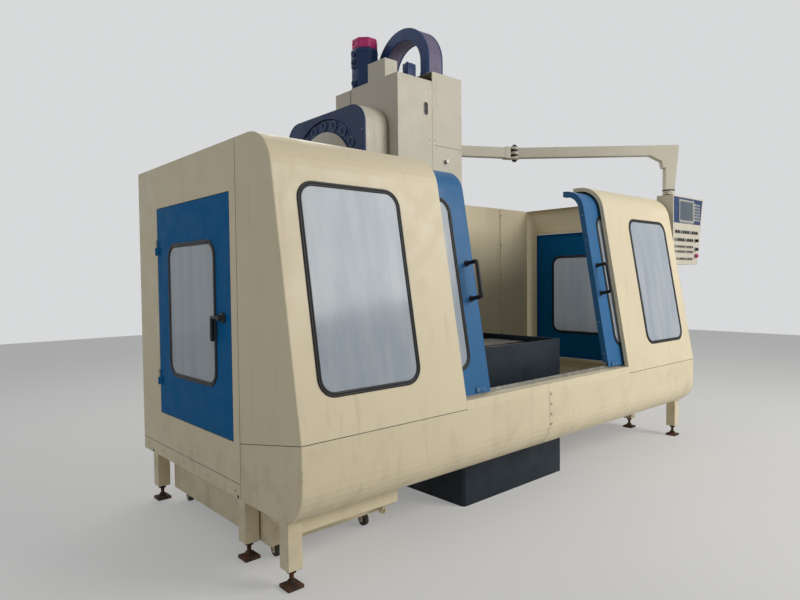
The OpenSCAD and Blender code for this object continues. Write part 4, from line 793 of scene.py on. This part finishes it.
shell_screws = Shape()
for turn in [(eighth + 0.5) * pi / 4 for eighth in range(8)]:
    shell_screws.screw(on_magazine(0.360, turn, 0.0078), 0.007, 0.0045)
for side in (-1, 1):
    wall = on_face(side, MAG_X, MAG_Y + side * MAG_HALF, MAG_Z)
    shell_screws.screws(wall, (-side * 0.030, -side * 0.190), (-0.300, 0.0, 0.300), 0.0055, 0.0032)
shell_screws.screws(at(MAG_X, MAG_Y, MAG_Z + MAG_HALF), [0.030], (-0.300, 0.0, 0.300), 0.0055, 0.0032)
shell_screws.screws(on_flank(-1, MAG_X, MAG_Y, MAG_Z), (-0.515, 0.515), (-0.330, 0.330), 0.006, 0.0035)
shell_screws.finish("magazine_shell_screws", "root", steel)

# Swinging arm: wear bands, pin caps and collar screws at the elbow, pivot cap at the column
PIVOT = Vector((0.430, 0.430, 0))
ARM_TOP, ARM_HIGH, ELBOW_R = 2.760, 0.096, 0.046
ARM_LOW = ARM_TOP - ARM_HIGH
ARM_1, ARM_1_TURN = 1.010, radians(-28.2)
ELBOW = PIVOT + Vector((ARM_1 * cos(ARM_1_TURN), ARM_1 * sin(ARM_1_TURN), 0))
POST = Vector((RIGHT + 0.115, FRONT + 0.290, 0))

pivots = Shape()
for low in (0.014, 0.060):
    pivots.turned(at(ELBOW.x, ELBOW.y, ARM_LOW + low),
                  [(ELBOW_R + 0.0002, 0), (ELBOW_R + 0.003, 0.002), (ELBOW_R + 0.003, 0.020),
                   (ELBOW_R + 0.0002, 0.022)], 40, loop=True)
for spot, high in ((ELBOW, ARM_TOP + 0.018), (PIVOT, ARM_TOP - 0.004)):
    top = at(spot.x, spot.y, high)
    pivots.turned(top, [(0.027, 0), (0.027, 0.004), (0.024, 0.008)], 32)
    pivots.hexagon(top @ at(0, 0, 0.0075), 0.026, 0.011, 0.0015)
pivots.turned(at(ELBOW.x, ELBOW.y, ARM_LOW - 0.018) @ UPSIDE_DOWN,
              [(0.026, 0), (0.026, 0.004), (0.018, 0.009), (0.012, 0.016)], 32)
pivots.finish("elbow_pins_and_bands", "arm_link_1", black_plastic)

arm_screws = Shape()
arm_axis = Matrix.Translation(ELBOW) @ Matrix.Rotation(ARM_1_TURN + pi, 4, "Z")
for face in (arm_axis @ at(0, 0, ARM_TOP + 0.007), arm_axis @ at(0, 0, ARM_LOW - 0.007) @ UPSIDE_DOWN):
    arm_screws.screws(face, (ELBOW_R + 0.024, ELBOW_R + 0.050), (-0.022, 0.022), 0.006, 0.0035)
arm_screws.finish("elbow_collar_screws", "arm_link_1", steel)

POST_LOW, STUB_R, PENDANT_TOP = 2.336, 0.052, 2.280
post_place = Matrix.Translation(POST)
swivel = Shape()
swivel.turned(post_place, [(STUB_R, POST_LOW - 0.012), (STUB_R + 0.006, POST_LOW - 0.010),
                           (STUB_R + 0.006, POST_LOW - 0.002), (STUB_R, POST_LOW)], 48, loop=True)
swivel.turned(post_place @ at(0, 0, PENDANT_TOP), [(STUB_R, 0.0008), (STUB_R + 0.008, 0.0008),
                                                   (STUB_R + 0.008, 0.007), (STUB_R, 0.010)], 48, loop=True)
for place in places_round(post_place, 6):
    swivel.screw(place @ on_flank(1, STUB_R - 0.001, 0, (POST_LOW + PENDANT_TOP) / 2))
swivel.finish("pendant_swivel_collars", "arm_link_2", black_plastic)

# Control panel: the places of its screen, keys and buttons on the case
CASE_X, CASE_Y, CASE_DEEP, CASE_HIGH = POST.x - 0.075, POST.y - 0.080, 0.160, 0.660
CASE_Z = PENDANT_TOP - CASE_HIGH
SCREEN_W, SCREEN_H, SCREEN_LEFT, SCREEN_DOWN = 0.304, 0.185, 0.141, 0.049
SCREEN_LOW = CASE_HIGH - SCREEN_DOWN - SCREEN_H
MODE_DIAL, FEED_DIAL, STOP_BUTTON = (0.500, 0.236), (0.500, 0.150), (0.495, 0.084)
KEY_PITCH, BEZEL_EDGE, CAP_OUT = 0.052, 0.0045, 0.0068


def on_case(x, z):
    """A place on the control panel's face, from its lower left corner."""
    return on_face(-1, CASE_X + x, CASE_Y, CASE_Z + z)


# Screen: stepped frame and domed glass
screen_mid = on_case(SCREEN_LEFT + SCREEN_W / 2, SCREEN_LOW + SCREEN_H / 2) @ at(0, 0, 0.001)
surround = Shape()
surround.ring(screen_mid, SCREEN_W + 0.030, SCREEN_H + 0.030, 0.008,
              [(0.0008, 0.0035), (0.0015, 0.0012), (0.008, 0.0), (0.003, -0.0015), (0.003, -0.006),
               (0.0015, -0.0008)], 4)
surround.finish("screen_surround", "pendant", panel_grey, closed=False)

screen = Shape()
form = bmesh.new()
bmesh.ops.create_grid(form, x_segments=16, y_segments=12, size=0.5,
                      matrix=Matrix.Diagonal((SCREEN_W - 0.006, SCREEN_H - 0.006, 1, 1)))
for vertex in form.verts:
    across, up = vertex.co.x / (SCREEN_W / 2), vertex.co.y / (SCREEN_H / 2)
    vertex.co.z = -0.0048 + 0.0046 * (1 - 0.5 * across ** 2 - 0.5 * up ** 2)
screen.take(form, screen_mid)
screen.finish("screen_glass", "pendant", screen_glass, closed=False, smooth=80)

# Soft keys beside the screen and in a row below it
soft_keys = Shape()
for row in range(6):
    for column in range(3):
        key = on_case(SCREEN_LEFT + SCREEN_W + 0.016 + 0.048 * column, SCREEN_LOW + 0.004 + 0.030 * row)
        soft_keys.bar(key, (0.0012, 0.0012, -0.003), (0.0388, 0.0228, 0.0042), 0.0022)
for column in range(7):
    key = on_case(SCREEN_LEFT + 0.006 + 0.0425 * column, SCREEN_LOW - 0.0262)
    soft_keys.bar(key, (0, 0, 0), (0.036, 0.0125, 0.004), 0.002)
soft_keys.finish("soft_keys", "pendant", key_grey)

# Rows of keys, as their height on the case, number, pitch, width, height and whether they are round
KEY_ROWS = ((0.300, 10, KEY_PITCH, 0.028, 0.024, True), (0.224, 8, KEY_PITCH, 0.028, 0.024, True),
            (0.112, 8, KEY_PITCH, 0.026, 0.020, False), (0.160, 8, KEY_PITCH, 0.026, 0.020, False),
            (0.044, 9, 0.044, 0.032, 0.016, False))
dark_caps, pale_caps, key_bezels = Shape(), Shape(), Shape()
for up, count, pitch, wide, high, round_caps in KEY_ROWS:
    for key in range(count):
        caps = pale_caps if (3 * key + count) % 4 == 0 else dark_caps
        middle = on_case(0.036 + key * pitch + wide / 2, up + high / 2) @ at(0, 0, CAP_OUT)
        key_bezels.block(middle, wide / 2 + BEZEL_EDGE, high / 2 + BEZEL_EDGE, -0.0066, -0.003, 0.0015, 1)
        if round_caps:
            radius = high / 2 + 0.003
            caps.turned(middle, [(radius, -0.0005), (radius, 0.0025), (radius - 0.002, 0.004),
                                 (radius - 0.0025, 0.006), (radius - 0.0045, 0.007)], 20)
            caps.block(middle, 0.0022, radius - 0.001, 0.005, 0.0095, 0.001)
        else:
            caps.block(middle, wide / 2 - 0.001, high / 2 - 0.001, -0.0005, 0.0045, 0.0022)
dark_caps.finish("key_caps", "pendant", black_plastic)
pale_caps.finish("pale_key_caps", "pendant", key_grey)
key_bezels.finish("key_bezels", "pendant", panel_grey)

# Dials with fluted caps and the ribbed stop button, each on its steel collar
collars = Shape()
for spot in (MODE_DIAL, FEED_DIAL, STOP_BUTTON):
    collars.turned(on_case(*spot), [(0.0105, 0.0003), (0.0235, 0.0003), (0.0235, 0.003), (0.0215, 0.0055),
                                    (0.0125, 0.0055), (0.0105, 0.0045)], 40, loop=True)
collars.finish("dial_collars", "pendant", steel)

for knob, spot in (("mode_knob", MODE_DIAL), ("feed_knob", FEED_DIAL)):
    dial = Shape()
    place = on_case(*spot)
    dial.turned(place, [(0.0152, 0.0122), (0.0152, 0.0145), (0.0136, 0.016), (0.0126, 0.0235),
                        (0.0115, 0.0245)], 36)
    for rib in places_round(place, 18):
        dial.bar(rib, (0.0125, -0.0009, 0.015), (0.0144, 0.0009, 0.0236), 0.0004, 1)
    dial.block(place, 0.003, 0.0142, 0.0235, 0.0322, 0.0012)
    dial.finish(knob + "_fluted_cap", knob, black_plastic)

mushroom = Shape()
stop = on_case(*STOP_BUTTON)
mushroom.turned(stop, [(0.0069, -0.038), (0.0069, 0.0118), (0.0195, 0.012), (0.0203, 0.0135),
                       (0.0203, 0.019), (0.0188, 0.0252), (0.016, 0.029), (0.011, 0.0312),
                       (0, 0.0318)], 40)
for mark in places_round(stop, 3):
    mushroom.block(mark @ at(0.010, 0, 0), 0.0015, 0.006, 0.0296, 0.0322, 0.0008, 1)
for rib in places_round(stop, 24):
    mushroom.bar(rib, (0.0196, -0.0008, 0.0135), (0.0209, 0.0008, 0.0188), 0.0004, 1)
mushroom.finish("emergency_stop_mushroom", "emergency_stop", crimson, ("emergency_stop",))

# Screws of the panel's case, behind and in front
case_screws = Shape()
case_screws.screws(on_face(1, CASE_X, CASE_Y + CASE_DEEP, CASE_Z), (-0.040, -0.300, -0.520),
                   (0.060, 0.330, 0.610), 0.006, 0.0035)
for x, z in ((0.016, 0.018), (0.016, 0.340), (0.016, 0.644), (0.532, 0.018), (0.603, 0.340), (0.672, 0.644)):
    case_screws.screw(on_case(x, z), 0.0045, 0.0026)
case_screws.finish("control_case_screws", "pendant", steel)

# Table: end screws and drains in the gutters
TABLE_X, TABLE_Y, TABLE_LONG, TABLE_DEEP, TABLE_TOP = -0.300, -0.130, 1.400, 0.560, 1.1723
table_bits = Shape()
for side in (-1, 1):
    end_face = on_flank(side, TABLE_X + side * TABLE_LONG / 2, TABLE_Y, TABLE_TOP - 0.070)
    table_bits.screws(end_face, [-0.250 + 0.100 * i for i in range(6)], [0], 0.008, 0.005)
    gutter = TABLE_Y + side * (TABLE_DEEP / 2 - 0.014)
    for x in (-0.600, -0.200, 0.200, 0.600):
        table_bits.turned(at(TABLE_X + x, gutter, TABLE_TOP - 0.0118),
                          [(0.006, 0), (0.006, 0.001), (0.0045, 0.0015), (0, 0.0008)], 16)
table_bits.finish("table_screws_and_drains", "table", steel)

# Saddle: wipers over the two ways, in front and behind
WELL_FLOOR, BASE_TOP, BASE_WIDE, RIM = 0.880, 1.030, 1.126, 0.025
WELL_FRONT = FRONT + 0.295 + RIM
SADDLE_HALF, WAY_X = 0.260, 0.330
saddle_wipers = Shape()
for side in (-1, 1):
    face = on_face(side, 0, TABLE_Y + side * SADDLE_HALF, WELL_FLOOR)
    for x in (-WAY_X, WAY_X):
        saddle_wipers.bar(face, (x - 0.062, 0.052, 0.0003), (x + 0.062, 0.080, 0.008), 0.002)
        saddle_wipers.screws(face, (x - 0.045, x + 0.045), [0.068], out=0.0078)
saddle_wipers.finish("saddle_wipers", "saddle", rubber)

# Way covers: a riveted lip on each front edge, steel on the fixed cover, rubber with a seal on the others
COVER_LONG, COVER_STEP, COVER_T = 0.380, 0.006, 0.002
cover_3 = TABLE_Y - SADDLE_HALF - COVER_LONG
for number, start, body, cover in ((0, WELL_FRONT, "root", "way_cover_front"),
                                   (1, (WELL_FRONT + cover_3) / 2, "way_cover_middle", "way_cover_middle"),
                                   (2, cover_3, "saddle", "way_cover_rear")):
    half = BASE_WIDE / 2 - RIM - 0.034 + number * (COVER_T + 0.003)
    edge = at(0, start, BASE_TOP - 0.056 + number * (COVER_T + COVER_STEP) + COVER_T)
    lip = Shape()
    lip.bar(edge, (-half + 0.004, 0.0005, 0.0001), (half - 0.004, 0.012, 0.0024), 0.0008)
    if number:
        lip.bar(edge, (-half + 0.002, -0.0022, -0.006), (half - 0.002, -0.0002, -0.0004), 0.0008)
    for count in range(-4, 5):
        lip.turned(edge @ at(count * half / 4.6, 0.006, 0.0022),
                   [(0.003, 0), (0.0022, 0.0012), (0, 0.0014)], 12)
    lip.finish(cover + "_wiper_lip", body, rubber if number else steel)

# Base casting: rims of the cleaning pockets in its flanks, and the rear cover plate with its bolts
pocket_rims = Shape()
for side in (-1, 1):
    flank = on_flank(side, side * BASE_WIDE / 2, 0.250, 0.420)
    pocket_rims.turned(flank, [(0.0905, -0.004), (0.0905, 0.004), (0.0925, 0.006), (0.112, 0.006),
                               (0.114, 0.004), (0.114, 0.0003), (0.098, 0.0003), (0.098, -0.004)],
                       48, loop=True)
    for place in places_round(flank, 6, 0.103, 0.0055):
        pocket_rims.screw(place)
pocket_rims.finish("cleaning_pocket_rims", "root", slate)

rear_cover = Shape()
base_rear = on_face(1, 0, FRONT + 2.300, 0.560)
rear_cover.block(base_rear, 0.260, 0.190, 0.0003, 0.005, 0.0025)
for place in places_on(base_rear, (-0.240, -0.080, 0.080, 0.240), (-0.172, 0.172), 0.0048):
    rear_cover.hexagon(place, 0.013, 0.005)
rear_cover.finish("base_rear_cover", "root", slate)

# Column: bolted covers over the core holes in its flanks, and the bolts of the arm's bracket
COLUMN_HALF, BRACKET_Z, BRACKET_BOLT_X = 0.330, ARM_TOP - 0.090, 0.366
core_covers = Shape()
for flank in [on_flank(side, side * COLUMN_HALF, 0.540, z) for side in (-1, 1) for z in (1.250, 1.750)]:
    core_covers.turned(flank, [(0.073, -0.004), (0.073, -0.0005), (0.090, -0.0005),
                               (0.090, 0.004), (0.087, 0.006), (0.030, 0.006), (0.026, 0.009)], 48)
    for place in places_round(flank, 8, 0.081, 0.0058):
        core_covers.hexagon(place, 0.010, 0.005)
core_covers.finish("column_core_covers", "root", machine_grey)

bracket = Shape()
for y in (PIVOT.y - 0.034, PIVOT.y + 0.034):
    bracket.hexagon(at(BRACKET_BOLT_X, y, BRACKET_Z - 0.0001), 0.019, 0.008)
    bracket.turned(at(BRACKET_BOLT_X, y, BRACKET_Z - 0.0003), [(0.0125, 0), (0.0125, 0.002)], 20)
bracket.finish("arm_bracket_bolts", "root", steel)

# Rear walls: washers and cap screws on the joint posts
REAR_WALL_Y = 0.470
wall_bolts = Shape()
for x in (-0.950, RIGHT - 0.517):
    for z in [0.900 + 0.320 * i for i in range(5)]:
        spot = on_face(-1, x, REAR_WALL_Y, z)
        wall_bolts.turned(spot, [(0.011, 0.0003), (0.011, 0.0015), (0.0063, 0.002)], 20)
        wall_bolts.screw(spot @ at(0, 0, 0.0048), 0.006, 0.0025)
wall_bolts.finish("rear_wall_bolts", "root", steel)

# Coolant tank: lid handles with their washers, lid screws, axle nuts and swivel bolts of the casters
TANK_X, TANK_Y, TANK_LOW = LEFT + SHEET + TUBE + 0.012, FRONT + 0.460, 0.090
TANK_LONG, TANK_DEEP, TANK_RIM = 0.745, 1.300, 0.295
CASTER_XS = (TANK_X + 0.070, TANK_X + TANK_LONG - 0.070)
CASTER_YS = (TANK_Y + 0.066, TANK_Y + TANK_DEEP - 0.090)
WHEEL_R, WHEEL_WIDE, LID_GRIP_HALF = 0.038, 0.030, 0.060
tank = Shape()
for y in (TANK_Y + 0.60, TANK_Y + 1.10):
    middle = at(TANK_X + TANK_LONG / 2, y, TANK_RIM)
    for x in (-LID_GRIP_HALF, LID_GRIP_HALF):
        tank.turned(middle @ at(x, 0, 0), [(0.009, 0.0003), (0.009, 0.003), (0.006, 0.004)], 20)
    tank.pipe([middle @ Vector((x, 0, z)) for x, z in (
        (-LID_GRIP_HALF, 0.002), (-LID_GRIP_HALF, 0.020), (-0.052, 0.028), (0.052, 0.028),
        (LID_GRIP_HALF, 0.020), (LID_GRIP_HALF, 0.002))], 0.0045, 4)
tank.screws(at(TANK_X, TANK_Y, TANK_RIM), (0.020, TANK_LONG - 0.020), (0.520, 0.900, 1.280), 0.006, 0.0035)
casters = [(x, y) for y in CASTER_YS for x in CASTER_XS]
for x, y in casters:
    for side in (-1, 1):
        tank.hexagon(on_flank(side, x + side * 0.0212, y, WHEEL_R), 0.013, 0.006)
    for place in places_on(at(x, y, TANK_LOW), (-0.032, 0.032), (-0.032, 0.032), -0.0085):
        tank.hexagon(place, 0.010, 0.0045)
tank.finish("tank_fittings", "root", steel)

half_tyre = [(0.0061, 0), (0.0135, 0), (0.0145, 0.002), (0.015, 0.0035), (0.0235, 0.0035),
             (0.025, 0.0015), (0.0265, 0.0), (0.0335, 0.0), (0.0362, 0.0015), (0.0378, 0.006)]
tyre = half_tyre + [(WHEEL_R, WHEEL_WIDE / 2)] + [(r, WHEEL_WIDE - x) for r, x in reversed(half_tyre)]
for number, (x, y) in enumerate(casters, 1):
    wheel = Shape()
    axle = on_flank(1, x - WHEEL_WIDE / 2, y, WHEEL_R)
    wheel.turned(axle, tyre, 40, loop=True)
    for spoke in places_round(axle, 5):
        wheel.bar(spoke, (0.0145, -0.002, 0.002), (0.025, 0.002, 0.028), 0.0006, 1)
    wheel.finish("caster_tyre_%d" % number, "caster_wheel_%d" % number, wheel_rubber,
                 ("caster_wheel_%d" % number,))

# Electrical cabinet: door hinges, louvre hoods, lock inserts and roof eyes
CABINET_X, CABINET_WIDE, CABINET_REAR, CABINET_TOP = BASE_WIDE / 2 + 0.060, 0.900, 0.960, 1.950
cabinet_face = on_face(1, CABINET_X + CABINET_WIDE / 2, CABINET_REAR, 0)
louvre_lean = Matrix.Rotation(radians(-25), 4, "X")
cabinet = Shape()
for side in (-1, 1):
    for up in (0.300, 1.000, 1.700):
        cabinet.turned(cabinet_face @ at(side * (CABINET_WIDE / 2 - 0.022), up, 0.006) @ UP_THE_WALL,
                       [(0.0065, 0), (0.0065, 0.060), (0.005, 0.062)], 16)
    for slat in range(7):
        hood = cabinet_face @ at(side * CABINET_WIDE / 4, 0.2605 + slat * 0.024, 0) @ louvre_lean
        cabinet.bar(hood, (-0.092, -0.001, -0.001), (0.092, 0.008, 0.0015), 0.0006, 1)
    cabinet.turned(cabinet_face @ at(side * 0.060, 1.180, 0),
                   [(0.011, 0), (0.011, 0.003), (0.009, 0.005), (0.004, 0.005), (0.004, 0.0035)], 24)
cabinet.finish("cabinet_hardware", "root", cream)

eyes = Shape()
eye_section = [(0.0155 + 0.005 * cos(a), 0.005 * sin(a)) for a in [2 * pi * i / 10 for i in range(10)]]
cabinet_roof = at(CABINET_X, CABINET_REAR, CABINET_TOP)
for foot in places_on(cabinet_roof, (0.060, CABINET_WIDE - 0.060), (-0.360, -0.060)):
    eyes.turned(foot, [(0.018, 0), (0.018, 0.005), (0.009, 0.008), (0.008, 0.014)])
    eyes.turned(foot @ at(0, 0, 0.030) @ Matrix.Rotation(pi / 2, 4, "X"), eye_section, loop=True)
eyes.finish("cabinet_lifting_eyes", "root", steel)

# Sliding doors: screwed plates over the shoes, edge screws and buffers at the lower rail's ends
DOOR_LOW, DOOR_WIDE, SHOE_IN = SEAM + 0.062, 1.080, 0.090
LOWER_RAIL_Y = on_front(0, DOOR_LOW, DOOR_SET).translation.y
for side, name, lead in ((-1, "left_door", LEFT_LEAD), (1, "right_door", RIGHT_LEAD)):
    shoe_plates, edge_screws = Shape(), Shape()
    for inward in (SHOE_IN, DOOR_WIDE - SHOE_IN):
        plate = on_front(lead + side * inward, DOOR_LOW + 0.018, DOOR_SET)
        shoe_plates.bar(plate, (-0.046, -0.015, 0.0003), (0.046, 0.021, 0.0078), 0.003)
        edge_screws.screws(plate, (-0.030, 0.030), [0.003], 0.0055, 0.003, out=0.0076)
    for z in (0.900, 1.150, 1.800, 2.000):
        edge_screws.screw(on_flank(-side, *on_front(lead, z, DOOR_SET + 0.022).translation), 0.005, 0.0022)
    shoe_plates.finish(name + "_shoe_plates", name, door_blue)
    edge_screws.finish(name + "_edge_screws", name, steel)

buffers = Shape()
for side, x in ((1, LEFT + 0.040), (-1, RIGHT - 0.040)):
    mouth = on_flank(side, x, LOWER_RAIL_Y + 0.030, SEAM + 0.064)
    buffers.bar(mouth, (-0.022, -0.0135, -0.020), (0.022, 0.016, 0.006), 0.002)
    buffers.turned(mouth, [(0.014, 0.0055), (0.015, 0.010), (0.013, 0.022), (0.009, 0.026), (0, 0.027)])
buffers.finish("rail_end_buffers", "root", rubber)

# Enclosure frame: plugs in the tube ends, dark patches on the skirt beside the legs that paint the shade of
# its openings there, and bolts through the skirt
plugs_and_notch_shades, skirt_bolts = Shape(), Shape()
plug_half = TUBE / 2 - 0.0025
for leg in places_on(Matrix(), LEG_XS, LEG_YS, LEG_LOW):
    plugs_and_notch_shades.block(leg, plug_half, plug_half, -0.003, 0.0004, 0.0012)
for side in (-1, 1):
    for y in LEG_YS[1:]:
        # Painted shade: a dark patch where the skirt has an opening beside the leg
        skirt_notch_shade = on_end_wall(side, y + 0.030, 0.338)
        plugs_and_notch_shades.block(skirt_notch_shade, 0.010, 0.008, -0.001, 0.0016, 0.001)
    for y in (-0.700, -0.350, 0.0, 0.350, 0.620):
        skirt_bolts.hexagon(on_end_wall(side, y, 0.366) @ at(0, 0, 0.0002), 0.013, 0.005)
plugs_and_notch_shades.finish("leg_end_caps_and_skirt_notch_shades", "root", black_plastic)
skirt_bolts.finish("skirt_bolts", "root", cream)

# Chip pans: cover strips with screws along the wall and halfway down, drain screens near the base
PAN_HIGH, PAN_LOW, APRON_BACK = RAIL_TOP + 0.120, RAIL_TOP - 0.020, FRONT + 0.260
SCREEN_IN, SCREEN_BARS, BAR_PITCH = 0.080, 9, 0.010
pan_trim, drains = Shape(), Shape()
for side, wall_x in ((-1, LEFT + SHEET), (1, RIGHT - SHEET)):
    run = abs(wall_x) - BASE_WIDE / 2
    fall = atan2(PAN_HIGH - PAN_LOW, run)
    slope = at(wall_x, 0, PAN_HIGH) @ Matrix.Rotation(-side * fall, 4, "Y")
    for down in (0.040, run * 0.5):
        pan_trim.bar(slope, (-side * down, APRON_BACK + 0.010, 0.0023),
                     (-side * (down + 0.030), REAR_WALL_Y, 0.0043), 0.0008, 1)
        pan_trim.screws(slope, [-side * (down + 0.015)], (-1.000, -0.600, -0.200, 0.200), 0.005, 0.0022,
                        out=0.0042)
    foot = run / cos(fall)
    for y in (-0.900, -0.400, 0.100):
        for count in range(SCREEN_BARS):
            bar_x = -side * (foot - SCREEN_IN - 0.040 + BAR_PITCH * count)
            drains.block(slope @ at(bar_x, y, 0.0022), 0.0018, 0.080, 0, 0.004, 0.0006, 1)
        for end in (-1, 1):
            drains.bar(slope @ at(-side * (foot - SCREEN_IN), y, 0.0022), (-0.052, end * 0.080, 0),
                       (0.052, end * 0.088, 0.003), 0.0008, 1)
pan_trim.finish("pan_seam_strips", "root", cream)
drains.finish("pan_drain_screens", "root", steel)

# Floor, backdrop and lights
PALE = linear(216, 217, 218)


def seen_directly(tree):
    """1 for the rays that show a background: from the camera, off a shiny piece or through glass."""
    rays = tree.nodes.new("ShaderNodeLightPath")
    seen = rays.outputs["Is Camera Ray"]
    for kind in ("Is Glossy Ray", "Is Transmission Ray"):
        either = tree.nodes.new("ShaderNodeMath")
        either.operation = "MAXIMUM"
        tree.links.new(seen, either.inputs[0])
        tree.links.new(rays.outputs[kind], either.inputs[1])
        seen = either.outputs["Value"]
    return seen


floor_paint = Finish("pale_floor", linear(226, 225, 222), 0.75)
floor_paint.bump(floor_paint.noise(8, 4), 0.05, 0.01)
glow = floor_paint.add("ShaderNodeEmission")
glow.inputs["Color"].default_value = PALE
lifted = floor_paint.add("ShaderNodeMixShader")
floor_paint.link(floor_paint.combined(seen_directly(floor_paint.tree), 0.35), lifted.inputs["Fac"])
floor_paint.link(floor_paint.surface.outputs["BSDF"], lifted.inputs[1])
floor_paint.link(glow.outputs["Emission"], lifted.inputs[2])
floor_paint.link(lifted.outputs["Shader"], floor_paint.tree.nodes["Material Output"].inputs["Surface"])
floor_form = bmesh.new()
bmesh.ops.create_grid(floor_form, x_segments=1, y_segments=1, size=14)
floor_mesh = bpy.data.meshes.new("studio_floor")
floor_form.to_mesh(floor_mesh)
floor_form.free()
floor_mesh.materials.append(floor_paint.material)
floor = bpy.data.objects.new("studio_floor", floor_mesh)
bpy.context.scene.collection.objects.link(floor)


def soft_light(name, place, target, size, watts, colour=(1, 1, 1)):
    lamp = bpy.data.lights.new(name, "AREA")
    lamp.shape = "RECTANGLE"
    lamp.size, lamp.size_y = size
    lamp.energy = watts
    lamp.color = colour
    holder = bpy.data.objects.new(name, lamp)
    bpy.context.scene.collection.objects.link(holder)
    holder.location = place
    holder.rotation_euler = (Vector(target) - Vector(place)).to_track_quat("-Z", "Y").to_euler()


soft_light("key_right", (3.4, -7.2, 4.6), (0.0, -0.6, 1.2), (4.0, 3.0), 390, (1, 0.98, 0.95))
soft_light("fill_left", (-7.5, -1.0, 3.5), (0, 0, 1.2), (4.0, 4.0), 30, (0.94, 0.97, 1))
soft_light("top_back", (0.5, 4.0, 6.0), (0.2, 0, 1.8), (5.0, 3.0), 125)

world = bpy.data.worlds.new("pale_studio")
world.use_nodes = True
bpy.context.scene.world = world
sky = world.node_tree
lighting = sky.nodes["Background"]
lighting.inputs["Color"].default_value = linear(232, 232, 232)
lighting.inputs["Strength"].default_value = 0.30
backdrop = sky.nodes.new("ShaderNodeBackground")
backdrop.inputs["Color"].default_value = PALE
choice = sky.nodes.new("ShaderNodeMixShader")
sky.links.new(seen_directly(sky), choice.inputs["Fac"])
sky.links.new(lighting.outputs["Background"], choice.inputs[1])
sky.links.new(backdrop.outputs["Background"], choice.inputs[2])
sky.links.new(choice.outputs["Shader"], sky.nodes["World Output"].inputs["Surface"])
bpy.context.scene.view_settings.view_transform = "Standard"
